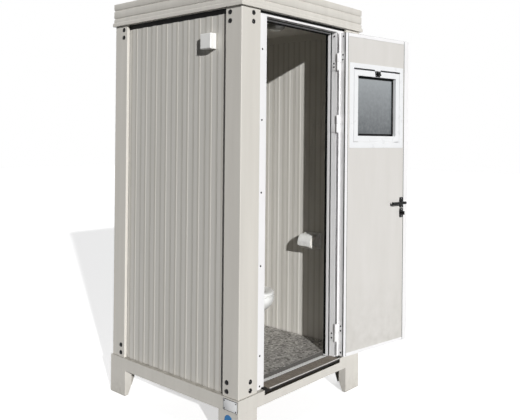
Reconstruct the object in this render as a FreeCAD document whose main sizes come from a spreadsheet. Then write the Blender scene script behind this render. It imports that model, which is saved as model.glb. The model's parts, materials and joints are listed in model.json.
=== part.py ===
import FreeCAD, Part
import math
import os
import Sketcher

# A one-person toilet cabin on four steel legs, built up from pressed corner posts, sandwich
# wall panels and an aluminium door frame. X runs to the right seen from the door, Y runs to
# the back and Z up. The origin is on the ground under the middle of the base frame.

doc = FreeCAD.newDocument("ToiletCabin")
sheet = doc.addObject("Spreadsheet::Sheet", "Sizes")


class Size:
    """A length that keeps its number together with the sheet expression behind it."""

    def __init__(self, value, text):
        self.value = value
        self.text = text

    @staticmethod
    def of(other):
        if isinstance(other, Size):
            return other
        return Size(float(other), repr(float(other)))

    def _join(self, other, sign, value):
        return Size(value, f"({self.text} {sign} {Size.of(other).text})")

    def __add__(self, other):
        return self._join(other, "+", self.value + Size.of(other).value)

    def __radd__(self, other):
        return Size.of(other) + self

    def __sub__(self, other):
        return self._join(other, "-", self.value - Size.of(other).value)

    def __rsub__(self, other):
        return Size.of(other) - self

    def __mul__(self, other):
        return self._join(other, "*", self.value * Size.of(other).value)

    def __rmul__(self, other):
        return Size.of(other) * self

    def __truediv__(self, other):
        return self._join(other, "/", self.value / Size.of(other).value)

    def __neg__(self):
        return Size(0.0, "0") - self


rows = 0


def size(alias, value):
    """Write one driving dimension into the sheet and hand it back by name."""
    global rows
    rows += 1
    sheet.set(f"A{rows}", alias.replace("_", " "))
    sheet.set(f"B{rows}", str(value))
    sheet.setAlias(f"B{rows}", alias)
    return Size(float(value), f"Sizes.{alias}")


# How many straight sides stand in for a round, so that the mesh stays light
bolt_sides = 6
round_sides = 12
large_round_sides = 24

# Overall sizes
base_width = size("base_width", 1200)
base_depth = size("base_depth", 1180)
leg_height = size("leg_height", 165)
rail_height = size("rail_height", 80)
post_height = size("post_height", 2195)
fascia_height = size("fascia_height", 150)

# Steel frame
rail_steel = size("rail_steel", 4)
rail_flange = size("rail_flange", 110)
leg_plate = size("leg_plate", 155)
leg_lip = size("leg_lip", 54)
leg_steel = size("leg_steel", 4)
leg_chamfer_rise = size("leg_chamfer_rise", 65)
leg_chamfer_run = size("leg_chamfer_run", 28)
joist_width = size("joist_width", 60)
joist_spacing = size("joist_spacing", 380)
post_inset = size("post_inset", 8)
post_front_leg = size("post_front_leg", 158)
post_side_leg = size("post_side_leg", 126)
post_steel = size("post_steel", 3)
post_lip = size("post_lip", 19)
post_bend = size("post_bend", 4)
bracket_steel = size("bracket_steel", 5)
bracket_height = size("bracket_height", 110)
bracket_front_leg = size("bracket_front_leg", 120)
bracket_side_leg = size("bracket_side_leg", 100)
bolt_neck = size("bolt_neck", 8)
bolt_hole_play = size("bolt_hole_play", 1)
bolt_head = size("bolt_head", 28)
bolt_head_top = size("bolt_head_top", 15)
bolt_head_height = size("bolt_head_height", 7)
bolt_length = size("bolt_length", 14)
bolt_from_front_edge = size("bolt_from_front_edge", 97)
bolt_from_side_edge = size("bolt_from_side_edge", 90)
bolt_end_distance = size("bolt_end_distance", 29)
bolt_pitch = size("bolt_pitch", 50)

# Walls, floor and roof
wall_recess = size("wall_recess", 20)
wall_thick = size("wall_thick", 50)
rib_pitch = size("rib_pitch", 100)
rib_top_width = size("rib_top_width", 45)
rib_foot_width = size("rib_foot_width", 55)
rib_depth = size("rib_depth", 2)
rib_end_margin = size("rib_end_margin", 12)
ring_height = size("ring_height", 50)
ring_door_notch = size("ring_door_notch", 18)
ceiling_over_eaves = size("ceiling_over_eaves", 20)
gusset_steel = size("gusset_steel", 6)
floor_board = size("floor_board", 28)
floor_vinyl = size("floor_vinyl", 4)
fit_gap = size("fit_gap", 1)
roof_panel_thick = size("roof_panel_thick", 80)
roof_ribs_each_way = 2
roof_rib_pitch = size("roof_rib_pitch", 200)
roof_rib_rise = size("roof_rib_rise", 20)
roof_panel_overlap = size("roof_panel_overlap", 10)
fascia_steel = size("fascia_steel", 3)
fascia_overhang = size("fascia_overhang", 9)
fascia_lip_proud = size("fascia_lip_proud", 6)
fascia_lip_height = size("fascia_lip_height", 25)
fascia_flange = size("fascia_flange", 28)
groove_from_top = size("groove_from_top", 44)
groove_pitch = size("groove_pitch", 54)
groove_width = size("groove_width", 9)
groove_depth = size("groove_depth", 5)

# Door frame
door_half = size("door_half", 354)
door_rise = size("door_rise", 2168)
frame_recess = size("frame_recess", 23)
frame_depth = size("frame_depth", 77)
frame_post_gap = size("frame_post_gap", 2)
frame_wall = size("frame_wall", 3)
rebate_depth = size("rebate_depth", 42)
stop_height = size("stop_height", 15)
trim_overlap = size("trim_overlap", 20)
head_flange = size("head_flange", 14)
sill_top_over_deck = size("sill_top_over_deck", 8)
sill_drop = size("sill_drop", 22)
sill_wall = size("sill_wall", 5)
sill_nosing_extra = size("sill_nosing_extra", 23)
sill_notch_depth = size("sill_notch_depth", 28)
sill_notch_back = size("sill_notch_back", 30)
sill_end_gap = size("sill_end_gap", 2)
strip_rise = size("strip_rise", 10)
strip_ridge = size("strip_ridge", 2)
strip_rib_pitch = size("strip_rib_pitch", 26)
strip_rib_lean = size("strip_rib_lean", 20)

# Door leaf, drawn shut and swung open with the hinge
open_angle = size("open_angle", 171.2)
leaf_recess = size("leaf_recess", 11)
leaf_thick = size("leaf_thick", 50)
leaf_bottom_gap = size("leaf_bottom_gap", 17)
leaf_top_gap = size("leaf_top_gap", 6)
pin_from_reveal = size("pin_from_reveal", 3)
pin_to_leaf = size("pin_to_leaf", 25)
leaf_lock_gap = size("leaf_lock_gap", 9)
lock_step = size("lock_step", 31.5)
lock_step_depth = size("lock_step_depth", 12)
stile_skin = size("stile_skin", 2)
stile_web = size("stile_web", 3)
hinge_flange = size("hinge_flange", 22)
lock_flange = size("lock_flange", 30)
hinge_lip = size("hinge_lip", 14.5)

# Hinges
barrel_radius = size("barrel_radius", 9)
barrel_half = size("barrel_half", 58)
knuckle_gap = size("knuckle_gap", 1)
hinge_pin_radius = size("hinge_pin_radius", 4)
running_play = size("running_play", 0.05)
hinge_plate = size("hinge_plate", 3)
hinge_plate_reach = size("hinge_plate_reach", 52)
hinge_plate_short = size("hinge_plate_short", 38)
hinge_low = size("hinge_low", 170)
hinge_middle = size("hinge_middle", 1556)
hinge_high = size("hinge_high", 1968)

# Window in the leaf
window_width = size("window_width", 560)
window_height = size("window_height", 570)
window_sill_rise = size("window_sill_rise", 1397)
window_lap = size("window_lap", 12)
window_frame_width = size("window_frame_width", 40)
sash_gap = size("sash_gap", 3)
sash_pin_radius = size("sash_pin_radius", 3)
sash_pin_inset = size("sash_pin_inset", 6)
sash_pin_length = size("sash_pin_length", 16)
sash_width = size("sash_width", 39)
sash_depth = size("sash_depth", 40)
glass_recess = size("glass_recess", 28)
glass_thick = size("glass_thick", 6)
glass_bite = size("glass_bite", 8)
catch_head_width = size("catch_head_width", 56)
catch_foot_width = size("catch_foot_width", 44)
catch_height = size("catch_height", 35)
catch_plate = size("catch_plate", 4)
catch_travel = size("catch_travel", 6)
catch_grip_width = size("catch_grip_width", 26)
catch_grip_height = size("catch_grip_height", 24)
catch_grip_top = size("catch_grip_top", 5)
catch_grip_tip = size("catch_grip_tip", 18)
catch_tip_height = size("catch_tip_height", 5)
catch_stem_width = size("catch_stem_width", 10)
catch_stem_height = size("catch_stem_height", 8)
catch_bolt_thick = size("catch_bolt_thick", 5)
catch_bolt_over = size("catch_bolt_over", 2)
slide_play = size("slide_play", 0.5)

# Lock and handles
lever_height = size("lever_height", 1007)
lock_spacing = size("lock_spacing", 74)
backset = size("backset", 84)
plate_width = size("plate_width", 36)
plate_height = size("plate_height", 74)
plate_corner = size("plate_corner", 5)
rose_height = size("rose_height", 66)
plate_thick = size("plate_thick", 5)
spindle_radius = size("spindle_radius", 5)
neck_radius = size("neck_radius", 9)
lever_standoff = size("lever_standoff", 42)
lever_length = size("lever_length", 130)
lever_thick = size("lever_thick", 12)
lever_deep = size("lever_deep", 19)
lever_corner = size("lever_corner", 4)
lever_bend = size("lever_bend", 18)
case_thick = size("case_thick", 16)
case_depth = size("case_depth", 112)
case_height = size("case_height", 180)
lock_offset = size("lock_offset", 23)
bolt_bar_height = size("bolt_bar_height", 22)
bolt_bar_width = size("bolt_bar_width", 12)
latch_nose = size("latch_nose", 6.5)
bolt_play = size("bolt_play", 0.5)
latch_bevel = size("latch_bevel", 9)
strike_steel = size("strike_steel", 2)
strike_margin = size("strike_margin", 33)
thumb_radius = size("thumb_radius", 8)
thumb_proud = size("thumb_proud", 14)
thumb_grip_deep = size("thumb_grip_deep", 12)
thumb_grip_width = size("thumb_grip_width", 8)
thumb_grip_height = size("thumb_grip_height", 26)
coin_slot_width = size("coin_slot_width", 2.4)
coin_slot_height = size("coin_slot_height", 10)

# Fittings outside and on the ceiling
box_side = size("box_side", 90)
box_depth = size("box_depth", 34)
box_lid_depth = size("box_lid_depth", 12)
box_wall = size("box_wall", 3)
box_from_front = size("box_from_front", 266)
box_rise = size("box_rise", 2015)
lamp_radius = size("lamp_radius", 66)
lamp_base_height = size("lamp_base_height", 20)
lamp_base_lip = size("lamp_base_lip", 5)
lamp_dome_height = size("lamp_dome_height", 46)
lamp_bevel_height = size("lamp_bevel_height", 21)
lamp_bevel_inward = size("lamp_bevel_inward", 19)
lamp_from_front = size("lamp_from_front", 257)

# Sanitary ware
pan_offset = size("pan_offset", 45)
pan_from_front = size("pan_from_front", 325)
pan_length = size("pan_length", 520)
pan_half_width = size("pan_half_width", 180)
pan_rim_height = size("pan_rim_height", 375)
bowl_half_width = size("bowl_half_width", 128)
bowl_half_length = size("bowl_half_length", 170)
bowl_setback = size("bowl_setback", 55)
bowl_depth = size("bowl_depth", 210)
bowl_taper_height = size("bowl_taper_height", 150)
bowl_taper_inward = size("bowl_taper_inward", 58)
belly_height = size("belly_height", 225)
belly_inward = size("belly_inward", 62)
pan_rim_band = size("pan_rim_band", 55)
rim_crown_height = size("rim_crown_height", 8)
rim_crown_inward = size("rim_crown_inward", 6)
foot_half_width = size("foot_half_width", 104)
foot_setback = size("foot_setback", 65)
foot_into_belly = size("foot_into_belly", 10)
plinth_step = size("plinth_step", 10)
plinth_height = size("plinth_height", 18)
shelf_length = size("shelf_length", 110)
shelf_height = size("shelf_height", 180)
shelf_half_width = size("shelf_half_width", 130)
spigot_length = size("spigot_length", 30)
spigot_radius = size("spigot_radius", 50)
spigot_height = size("spigot_height", 185)
waste_radius = size("waste_radius", 55)
waste_from_wall = size("waste_from_wall", 105)
waste_bend = size("waste_bend", 72)
waste_end_height = size("waste_end_height", 110)
waste_spigot_length = size("waste_spigot_length", 80)
waste_collar_radius = size("waste_collar_radius", 62)
waste_collar_height = size("waste_collar_height", 12)
floor_hole_play = size("floor_hole_play", 2)
seat_thick = size("seat_thick", 20)
seat_gap = size("seat_gap", 3)
seat_end_band = size("seat_end_band", 45)
seat_pin_radius = size("seat_pin_radius", 4)
seat_pad = size("seat_pad", 18)
seat_pad_shift = size("seat_pad_shift", 20)
seat_pad_forward = size("seat_pad_forward", 102)
seat_lug = size("seat_lug", 32)
seat_lug_offset = size("seat_lug_offset", 70)
seat_lug_root = size("seat_lug_root", 60)
seat_rim_inset = size("seat_rim_inset", 2)
seat_overhang = size("seat_overhang", 22)
seat_block = size("seat_block", 18)
seat_pivot_inset = size("seat_pivot_inset", 52)
cistern_width = size("cistern_width", 370)
cistern_depth = size("cistern_depth", 135)
cistern_height = size("cistern_height", 320)
cistern_rise = size("cistern_rise", 655)
cistern_corner = size("cistern_corner", 25)
flush_pipe_radius = size("flush_pipe_radius", 18)
flush_pipe_bend = size("flush_pipe_bend", 60)
flush_entry_drop = size("flush_entry_drop", 50)
button_width = size("button_width", 60)
button_length = size("button_length", 40)
button_corner = size("button_corner", 8)
button_sunk = size("button_sunk", 3)
button_proud = size("button_proud", 8)
button_travel_gap = size("button_travel_gap", 9)
water_pipe_radius = size("water_pipe_radius", 10)
water_pipe_offset = size("water_pipe_offset", 150)
water_pipe_end_height = size("water_pipe_end_height", 120)
water_spigot_length = size("water_spigot_length", 60)
water_nut_height = size("water_nut_height", 24)
water_nut_radius = size("water_nut_radius", 16)
nut_sides = 6
holder_rise = size("holder_rise", 722)
holder_from_front = size("holder_from_front", 330)
holder_length = size("holder_length", 150)
holder_back_thick = size("holder_back_thick", 6)
holder_drop = size("holder_drop", 48)
cheek_thick = size("cheek_thick", 5)
cheek_nose = size("cheek_nose", 14)
cheek_margin = size("cheek_margin", 4)
roll_radius = size("roll_radius", 46)
roll_length = size("roll_length", 104)
roll_core_radius = size("roll_core_radius", 20)
roll_from_wall = size("roll_from_wall", 54)
roll_play = size("roll_play", 3)
cover_knuckle = size("cover_knuckle", 5)
cover_pin_radius = size("cover_pin_radius", 2.5)
cover_pin_length = size("cover_pin_length", 12)
cover_radius = size("cover_radius", 56)
cover_skin = size("cover_skin", 3)
cover_hang = size("cover_hang", 20)
cover_curve_steps = 8
doc.recompute()

# Planes that several pieces share
half_x = base_width / 2
half_y = base_depth / 2
post_x = half_x - post_inset
post_y = half_y - post_inset
wall_out_x = post_x - wall_recess
wall_out_y = post_y - wall_recess
wall_in_x = wall_out_x - wall_thick
wall_in_y = wall_out_y - wall_thick
deck = leg_height + rail_height
eaves = deck + post_height
roof_top = eaves + fascia_height
ceiling = eaves + ceiling_over_eaves
ring_bottom = ceiling - ring_height
floor_top = deck + floor_board + floor_vinyl
frame_front = -(post_y - frame_recess)
frame_back = frame_front + frame_depth
rebate_back = frame_front + rebate_depth
frame_out = post_x - post_front_leg - frame_post_gap
stop_half = door_half - stop_height
door_top = deck + door_rise
pin_x = door_half - pin_from_reveal
pin_y = -(post_y - leaf_recess)
leaf_in = pin_y + leaf_thick
leaf_hinge_edge = pin_x - pin_to_leaf
leaf_lock_edge = leaf_lock_gap - door_half
leaf_inner_lock = leaf_lock_edge + lock_step
leaf_bottom = deck + leaf_bottom_gap
leaf_top = door_top - leaf_top_gap
bolt_levels = [
    deck + bolt_end_distance,
    deck + bolt_end_distance + bolt_pitch,
    eaves - bolt_end_distance - bolt_pitch,
    eaves - bolt_end_distance,
]
corners = {"front_left": (-1, -1), "front_right": (1, -1), "rear_left": (-1, 1), "rear_right": (1, 1)}
nodes = []


def rect(low_u, high_u, low_v, high_v):
    """A rectangle as the corner points of an outline."""
    return [(low_u, low_v), (high_u, low_v), (high_u, high_v), (low_u, high_v)]


def square(centre_u, centre_v, side):
    half = side / 2
    return rect(centre_u - half, centre_u + half, centre_v - half, centre_v + half)


def bolt_hole(centre_u, centre_v):
    """The square hole that keeps a coach bolt's neck from turning."""
    return square(centre_u, centre_v, bolt_neck + bolt_hole_play)


def ring(sides, half_u, half_v, centre_u=0, centre_v=0):
    """An ellipse drawn with straight sides."""
    turn = 2 * math.pi / sides
    return [
        (centre_u + half_u * math.cos(turn * k), centre_v + half_v * math.sin(turn * k))
        for k in range(sides)
    ]


def circle(centre_u, centre_v, radius):
    return ("circle", Size.of(centre_u), Size.of(centre_v), Size.of(radius))


def plaque(centre_u, centre_v, width, height, corner):
    """A rectangle with its corners cut off, for cover plates and grips."""
    half_u = width / 2
    half_v = height / 2
    return [
        (centre_u - half_u + corner, centre_v - half_v),
        (centre_u + half_u - corner, centre_v - half_v),
        (centre_u + half_u, centre_v - half_v + corner),
        (centre_u + half_u, centre_v + half_v - corner),
        (centre_u + half_u - corner, centre_v + half_v),
        (centre_u - half_u + corner, centre_v + half_v),
        (centre_u - half_u, centre_v + half_v - corner),
        (centre_u - half_u, centre_v - half_v + corner),
    ]


class Piece:
    """One body of the model: outlines drawn on its own origin planes, then raised or cut."""

    def __init__(self, label, export=True):
        self.body = doc.addObject("PartDesign::Body", label)
        self.body.Label = label
        self.label = label
        self.count = 0
        if export:
            nodes.append(self.body)

    def _name(self, kind):
        self.count += 1
        return f"{self.label}_{kind}_{self.count}"

    def sketch(self, role, offset, loops):
        plane = [item for item in self.body.Origin.OriginFeatures if item.Role == role][0]
        drawing = self.body.newObject("Sketcher::SketchObject", self._name("outline"))
        drawing.AttachmentSupport = (plane, [""])
        drawing.MapMode = "FlatFace"
        drawing.setExpression("AttachmentOffset.Base.z", Size.of(offset).text)
        for loop in loops:
            if isinstance(loop, tuple) and loop[0] == "circle":
                self._draw_circle(drawing, *loop[1:])
            else:
                self._draw_lines(drawing, [(Size.of(u), Size.of(v)) for u, v in loop])
        return drawing

    @staticmethod
    def _tie(drawing, kind, geometry, point, length):
        index = drawing.addConstraint(
            Sketcher.Constraint(kind, -1, 1, geometry, point, length.value)
        )
        drawing.setExpression(f"Constraints[{index}]", length.text)

    def _draw_lines(self, drawing, points):
        first = drawing.GeometryCount
        ends = points[1:] + points[:1]
        for (u, v), (next_u, next_v) in zip(points, ends):
            start = FreeCAD.Vector(u.value, v.value, 0)
            end = FreeCAD.Vector(next_u.value, next_v.value, 0)
            drawing.addGeometry(Part.LineSegment(start, end), False)
        for step in range(len(points)):
            following = first + (step + 1) % len(points)
            drawing.addConstraint(Sketcher.Constraint("Coincident", first + step, 2, following, 1))
        for step, (u, v) in enumerate(points):
            self._tie(drawing, "DistanceX", first + step, 1, u)
            self._tie(drawing, "DistanceY", first + step, 1, v)

    def _draw_circle(self, drawing, u, v, radius):
        centre = FreeCAD.Vector(u.value, v.value, 0)
        item = drawing.addGeometry(
            Part.Circle(centre, FreeCAD.Vector(0, 0, 1), radius.value), False
        )
        self._tie(drawing, "DistanceX", item, 3, u)
        self._tie(drawing, "DistanceY", item, 3, v)
        index = drawing.addConstraint(Sketcher.Constraint("Radius", item, radius.value))
        drawing.setExpression(f"Constraints[{index}]", radius.text)

    def _raise(self, kind, role, low, high, loops):
        low = Size.of(low)
        high = Size.of(high)
        offset = -high if role == "XZ_Plane" else low
        drawing = self.sketch(role, offset, loops)
        feature = self.body.newObject(f"PartDesign::{kind}", self._name(kind.lower()))
        feature.Profile = drawing
        feature.setExpression("Length", (high - low).text)
        return feature

    def add(self, role, low, high, *loops):
        """Raise outlines between two levels along the plane's axis."""
        return self._raise("Pad", role, low, high, loops)

    def cut(self, role, low, high, *loops):
        """Take outlines away between two levels along the plane's axis."""
        feature = self._raise("Pocket", role, low, high, loops)
        feature.Reversed = True
        return feature

    def loft(self, role, levels):
        """Join outlines at several levels with flat sides."""
        side = -1 if role == "XZ_Plane" else 1
        drawings = [self.sketch(role, level * side, [outline]) for level, outline in levels]
        feature = self.body.newObject("PartDesign::AdditiveLoft", self._name("loft"))
        feature.Profile = drawings[0]
        feature.Sections = drawings[1:]
        feature.Ruled = True
        return feature

    def sweep(self, profile_role, offset, outline, path_role, path):
        """Sweep an outline along straight lengths that meet in mitres."""
        spine = self.sketch(path_role, 0, [])
        points = [(Size.of(u), Size.of(v)) for u, v in path]
        for step, (start, end) in enumerate(zip(points, points[1:])):
            ends = [FreeCAD.Vector(u.value, v.value, 0) for u, v in (start, end)]
            spine.addGeometry(Part.LineSegment(*ends), False)
            if step:
                spine.addConstraint(Sketcher.Constraint("Coincident", step - 1, 2, step, 1))
        last = len(points) - 2
        places = [(step, 1) for step in range(last + 1)] + [(last, 2)]
        for (item, end), (u, v) in zip(places, points):
            self._tie(spine, "DistanceX", item, end, u)
            self._tie(spine, "DistanceY", item, end, v)
        profile = self.sketch(profile_role, offset, [outline])
        feature = self.body.newObject("PartDesign::AdditivePipe", self._name("sweep"))
        feature.Profile = profile
        feature.Spine = spine
        feature.Transition = "Right corner"
        return feature

    def repeat(self, feature, axis, length, occurrences):
        """Repeat a feature in a straight row along X, Y or Z."""
        line = [item for item in self.body.Origin.OriginFeatures if item.Role == axis][0]
        pattern = self.body.newObject("PartDesign::LinearPattern", self._name("row"))
        pattern.Originals = [feature]
        pattern.Direction = (line, [""])
        pattern.setExpression("Length", Size.of(length).text)
        pattern.Occurrences = occurrences
        self.body.Tip = pattern
        return pattern

    def repeat_all(self, features, steps, planes):
        """Repeat features once along each step, then mirror the lot across the planes."""
        parts = self.body.Origin.OriginFeatures
        moves = []
        for axis, length in steps:
            step = doc.addObject("PartDesign::LinearPattern", self._name("step"))
            step.Direction = ([item for item in parts if item.Role == axis][0], [""])
            step.setExpression("Length", Size.of(length).text)
            step.Occurrences = 2
            moves.append(step)
        for role in planes:
            mirror = doc.addObject("PartDesign::Mirrored", self._name("mirror"))
            mirror.MirrorPlane = ([item for item in parts if item.Role == role][0], [""])
            moves.append(mirror)
        pattern = self.body.newObject("PartDesign::MultiTransform", self._name("pattern"))
        pattern.Originals = features
        pattern.Transformations = moves
        self.body.Tip = pattern
        return pattern

    def _picked(self, pick):
        """The edges that a test picks from the body as it stands."""
        doc.recompute()
        tip = self.body.Tip
        names = []
        for number, edge in enumerate(tip.Shape.Edges, start=1):
            if pick(edge):
                names.append(f"Edge{number}")
        return tip, names

    def round_edges(self, radius, pick):
        """Round the picked edges."""
        base = self._picked(pick)
        feature = self.body.newObject("PartDesign::Fillet", self._name("fillet"))
        feature.Base = base
        feature.setExpression("Radius", Size.of(radius).text)
        return feature

    def bevel_edges(self, down, inward, pick):
        """Bevel the picked edges of an end face: so far down the sides and so far inward."""
        base = self._picked(pick)
        feature = self.body.newObject("PartDesign::Chamfer", self._name("bevel"))
        feature.Base = base
        feature.ChamferType = "Two distances"
        feature.setExpression("Size", Size.of(down).text)
        feature.setExpression("Size2", Size.of(inward).text)
        return feature

    def place(self, x=0, y=0, z=0):
        for letter, length in zip("xyz", (x, y, z)):
            self.body.setExpression(f"Placement.Base.{letter}", Size.of(length).text)


def upright_at(points):
    """A test for upright edges that stand at one of the given plan points."""

    def pick(edge):
        if len(edge.Vertexes) != 2:
            return False
        low, high = (vertex.Point for vertex in edge.Vertexes)
        level = abs(low.z - high.z) > 1 and abs(low.x - high.x) + abs(low.y - high.y) < 0.01
        return level and any(abs(low.x - x.value) + abs(low.y - y.value) < 0.05 for x, y in points)

    return pick


def at_level(height):
    """A test for level edges at one height."""
    return lambda edge: all(abs(vertex.Point.z - height.value) < 0.01 for vertex in edge.Vertexes)


def swing_with_door(item):
    """Turn a piece that is drawn shut about the hinge pin to the open position."""
    item.setExpression("Placement.Rotation.Angle", open_angle.text)
    turned_x = f"{pin_x.text} * cos({open_angle.text}) - {pin_y.text} * sin({open_angle.text})"
    turned_y = f"{pin_x.text} * sin({open_angle.text}) + {pin_y.text} * cos({open_angle.text})"
    item.setExpression("Placement.Base.x", f"{pin_x.text} - ({turned_x})")
    item.setExpression("Placement.Base.y", f"{pin_y.text} - ({turned_y})")


def mirrored_plan(points, side_x, side_y):
    return [(x * side_x, y * side_y) for x, y in points]


# Legs: a folded steel angle with deep return lips whose lower corners are cut away
def make_leg(name, side_x, side_y):
    leg = Piece(f"leg_{name}")
    outline = [
        (half_x, half_y),
        (half_x - leg_plate, half_y),
        (half_x - leg_plate, half_y - leg_lip),
        (half_x - leg_plate + leg_steel, half_y - leg_lip),
        (half_x - leg_plate + leg_steel, half_y - leg_steel),
        (half_x - leg_steel, half_y - leg_steel),
        (half_x - leg_steel, half_y - leg_plate + leg_steel),
        (half_x - leg_lip, half_y - leg_plate + leg_steel),
        (half_x - leg_lip, half_y - leg_plate),
        (half_x, half_y - leg_plate),
    ]
    leg.add("XY_Plane", 0, leg_height, mirrored_plan(outline, side_x, side_y))
    top = rect(half_x - leg_plate, half_x, half_y - leg_plate, half_y)
    leg.add("XY_Plane", leg_height - leg_steel, leg_height, mirrored_plan(top, side_x, side_y))
    for role, half, side, other in (
        ("YZ_Plane", half_y, side_y, side_x),
        ("XZ_Plane", half_x, side_x, side_y),
    ):
        corner = [
            ((half - leg_lip) * side, 0),
            ((half - leg_lip + leg_chamfer_run) * side, 0),
            ((half - leg_lip) * side, leg_chamfer_rise),
        ]
        across = half_x if role == "YZ_Plane" else half_y
        near = (across - leg_plate) * other
        far = (across - leg_plate + leg_steel) * other
        low, high = (near, far) if near.value < far.value else (far, near)
        leg.cut(role, low, high, corner)


# Base frame: four channel rails welded into a ring, two cross joists and corner brackets
def make_base_frame():
    frame = Piece("base_frame")
    frame.add("XY_Plane", leg_height, deck, rect(-half_x, half_x, -half_y, half_y))
    inner_x = half_x - rail_steel
    inner_y = half_y - rail_steel
    frame.cut(
        "XY_Plane",
        leg_height + rail_steel,
        deck - rail_steel,
        rect(-inner_x, inner_x, -inner_y, inner_y),
    )
    open_x = half_x - rail_flange
    open_y = half_y - rail_flange
    frame.cut("XY_Plane", leg_height, deck, rect(-open_x, open_x, -open_y, open_y))
    for middle in (-joist_spacing / 2, joist_spacing / 2):
        frame.add(
            "XY_Plane",
            leg_height + rail_steel,
            deck,
            rect(-inner_x, inner_x, middle - joist_width / 2, middle + joist_width / 2),
        )
    for side_x, side_y in corners.values():
        add_bracket(frame, side_x, side_y, deck, deck + bracket_height)
    cut_bolt_holes(frame, bolt_levels[:2])
    notch = door_half + sill_nosing_extra + sill_end_gap
    frame.cut(
        "XY_Plane",
        deck - sill_notch_depth,
        deck,
        rect(-notch, notch, -half_y, -half_y + sill_notch_back),
    )


def add_bracket(piece, side_x, side_y, low, high):
    """An upright angle plate that lies against the inside of a corner post."""
    out_x = post_x - post_steel
    out_y = post_y - post_steel
    outline = [
        (out_x, out_y),
        (out_x - bracket_front_leg, out_y),
        (out_x - bracket_front_leg, out_y - bracket_steel),
        (out_x - bracket_steel, out_y - bracket_steel),
        (out_x - bracket_steel, out_y - bracket_side_leg),
        (out_x, out_y - bracket_side_leg),
    ]
    piece.add("XY_Plane", low, high, mirrored_plan(outline, side_x, side_y))


def cut_bolt_holes(piece, levels):
    """Holes for the post bolts, right through the front, rear and both side faces."""
    along_x = post_x - bolt_from_front_edge
    along_y = post_y - bolt_from_side_edge
    front = []
    side = []
    for level in levels:
        for sign in (-1, 1):
            front.append(bolt_hole(along_x * sign, level))
            side.append(bolt_hole(along_y * sign, level))
    depth = post_steel + bracket_steel
    for low in (-post_y, post_y - depth):
        piece.cut("XZ_Plane", low, low + depth, *front)
    for low in (-post_x, post_x - depth):
        piece.cut("YZ_Plane", low, low + depth, *side)


# Corner posts: pressed angles with short lips that close against the walls
def make_post(name, side_x, side_y):
    post = Piece(f"post_{name}")
    outline = [
        (post_x, post_y),
        (post_x - post_front_leg, post_y),
        (post_x - post_front_leg, post_y - post_lip),
        (post_x - post_front_leg + post_steel, post_y - post_lip),
        (post_x - post_front_leg + post_steel, post_y - post_steel),
        (post_x - post_steel, post_y - post_steel),
        (post_x - post_steel, post_y - post_side_leg + post_steel),
        (post_x - post_lip, post_y - post_side_leg + post_steel),
        (post_x - post_lip, post_y - post_side_leg),
        (post_x, post_y - post_side_leg),
    ]
    post.add("XY_Plane", deck, eaves, mirrored_plan(outline, side_x, side_y))
    front_u = (post_x - bolt_from_front_edge) * side_x
    side_u = (post_y - bolt_from_side_edge) * side_y
    front = [bolt_hole(front_u, level) for level in bolt_levels]
    side = [bolt_hole(side_u, level) for level in bolt_levels]
    low_y = -post_y if side_y < 0 else post_y - post_steel
    low_x = -post_x if side_x < 0 else post_x - post_steel
    post.cut("XZ_Plane", low_y, low_y + post_steel, *front)
    post.cut("YZ_Plane", low_x, low_x + post_steel, *side)
    bends = [
        (post_x * side_x, post_y * side_y),
        ((post_x - post_front_leg) * side_x, post_y * side_y),
        (post_x * side_x, (post_y - post_side_leg) * side_y),
    ]
    post.round_edges(post_bend, upright_at(bends))


# Post bolts: black domed coach bolts in pairs at the head and foot of every post face
def make_post_bolts():
    bolts = Piece("post_bolts")
    rows = (
        ("XZ_Plane", post_y, post_x - bolt_from_front_edge),
        ("YZ_Plane", post_x, post_y - bolt_from_side_edge),
    )
    level = bolt_levels[0]
    for role, face, along in rows:
        rim = ring(bolt_sides, bolt_head / 2, bolt_head / 2, along, level)
        crown = ring(bolt_sides, bolt_head_top / 2, bolt_head_top / 2, along, level)
        head = bolts.loft(role, [(face, rim), (face + bolt_head_height, crown)])
        neck = bolts.add(role, face - bolt_length, face, square(along, level, bolt_neck))
        bolts.repeat_all(
            [head, neck],
            [("Z_Axis", bolt_pitch), ("Z_Axis", bolt_levels[2] - level)],
            ["YZ_Plane", "XZ_Plane"],
        )


# Sandwich wall panels with shallow upright ribs on both skins
def rib_outline(face, outward, middle):
    """One raised rib on a skin: a low trapezium that stands on the panel's face."""
    foot = rib_foot_width / 2
    top = rib_top_width / 2
    crest = face + rib_depth * outward
    return [(face, middle - foot), (crest, middle - top), (crest, middle + top), (face, middle + foot)]


def ribs_each_way(reach):
    """How many ribs fit on each side of the middle one, short of the panel's edge."""
    room = reach - rib_end_margin - rib_foot_width / 2
    return math.floor(room.value / rib_pitch.value)


def make_side_wall(name, side):
    wall = Piece(f"wall_panel_{name}")
    outer = wall_out_x - rib_depth
    inner = wall_in_x + rib_depth
    low, high = (outer * side, inner * side) if side < 0 else (inner, outer)
    wall.add("XY_Plane", deck, ring_bottom, rect(low, high, -wall_out_y, wall_out_y))
    for face, outward, span in (
        (outer * side, side, wall_out_y),
        (inner * side, -side, wall_in_y),
    ):
        each_way = ribs_each_way(span)
        rib = wall.add("XY_Plane", deck, ring_bottom, rib_outline(face, outward, -rib_pitch * each_way))
        wall.repeat(rib, "Y_Axis", rib_pitch * (2 * each_way), 2 * each_way + 1)


def make_rear_wall():
    wall = Piece("wall_panel_rear")
    outer = wall_out_y - rib_depth
    inner = wall_in_y + rib_depth
    span = wall_in_x + rib_depth - fit_gap
    wall.add("XY_Plane", deck, ring_bottom, rect(-span, span, inner, outer))
    each_way = ribs_each_way(span)
    for face, outward in ((outer, 1), (inner, -1)):
        outline = [(v, u) for u, v in rib_outline(face, outward, -rib_pitch * each_way)]
        rib = wall.add("XY_Plane", deck, ring_bottom, outline)
        wall.repeat(rib, "X_Axis", rib_pitch * (2 * each_way), 2 * each_way + 1)


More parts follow.
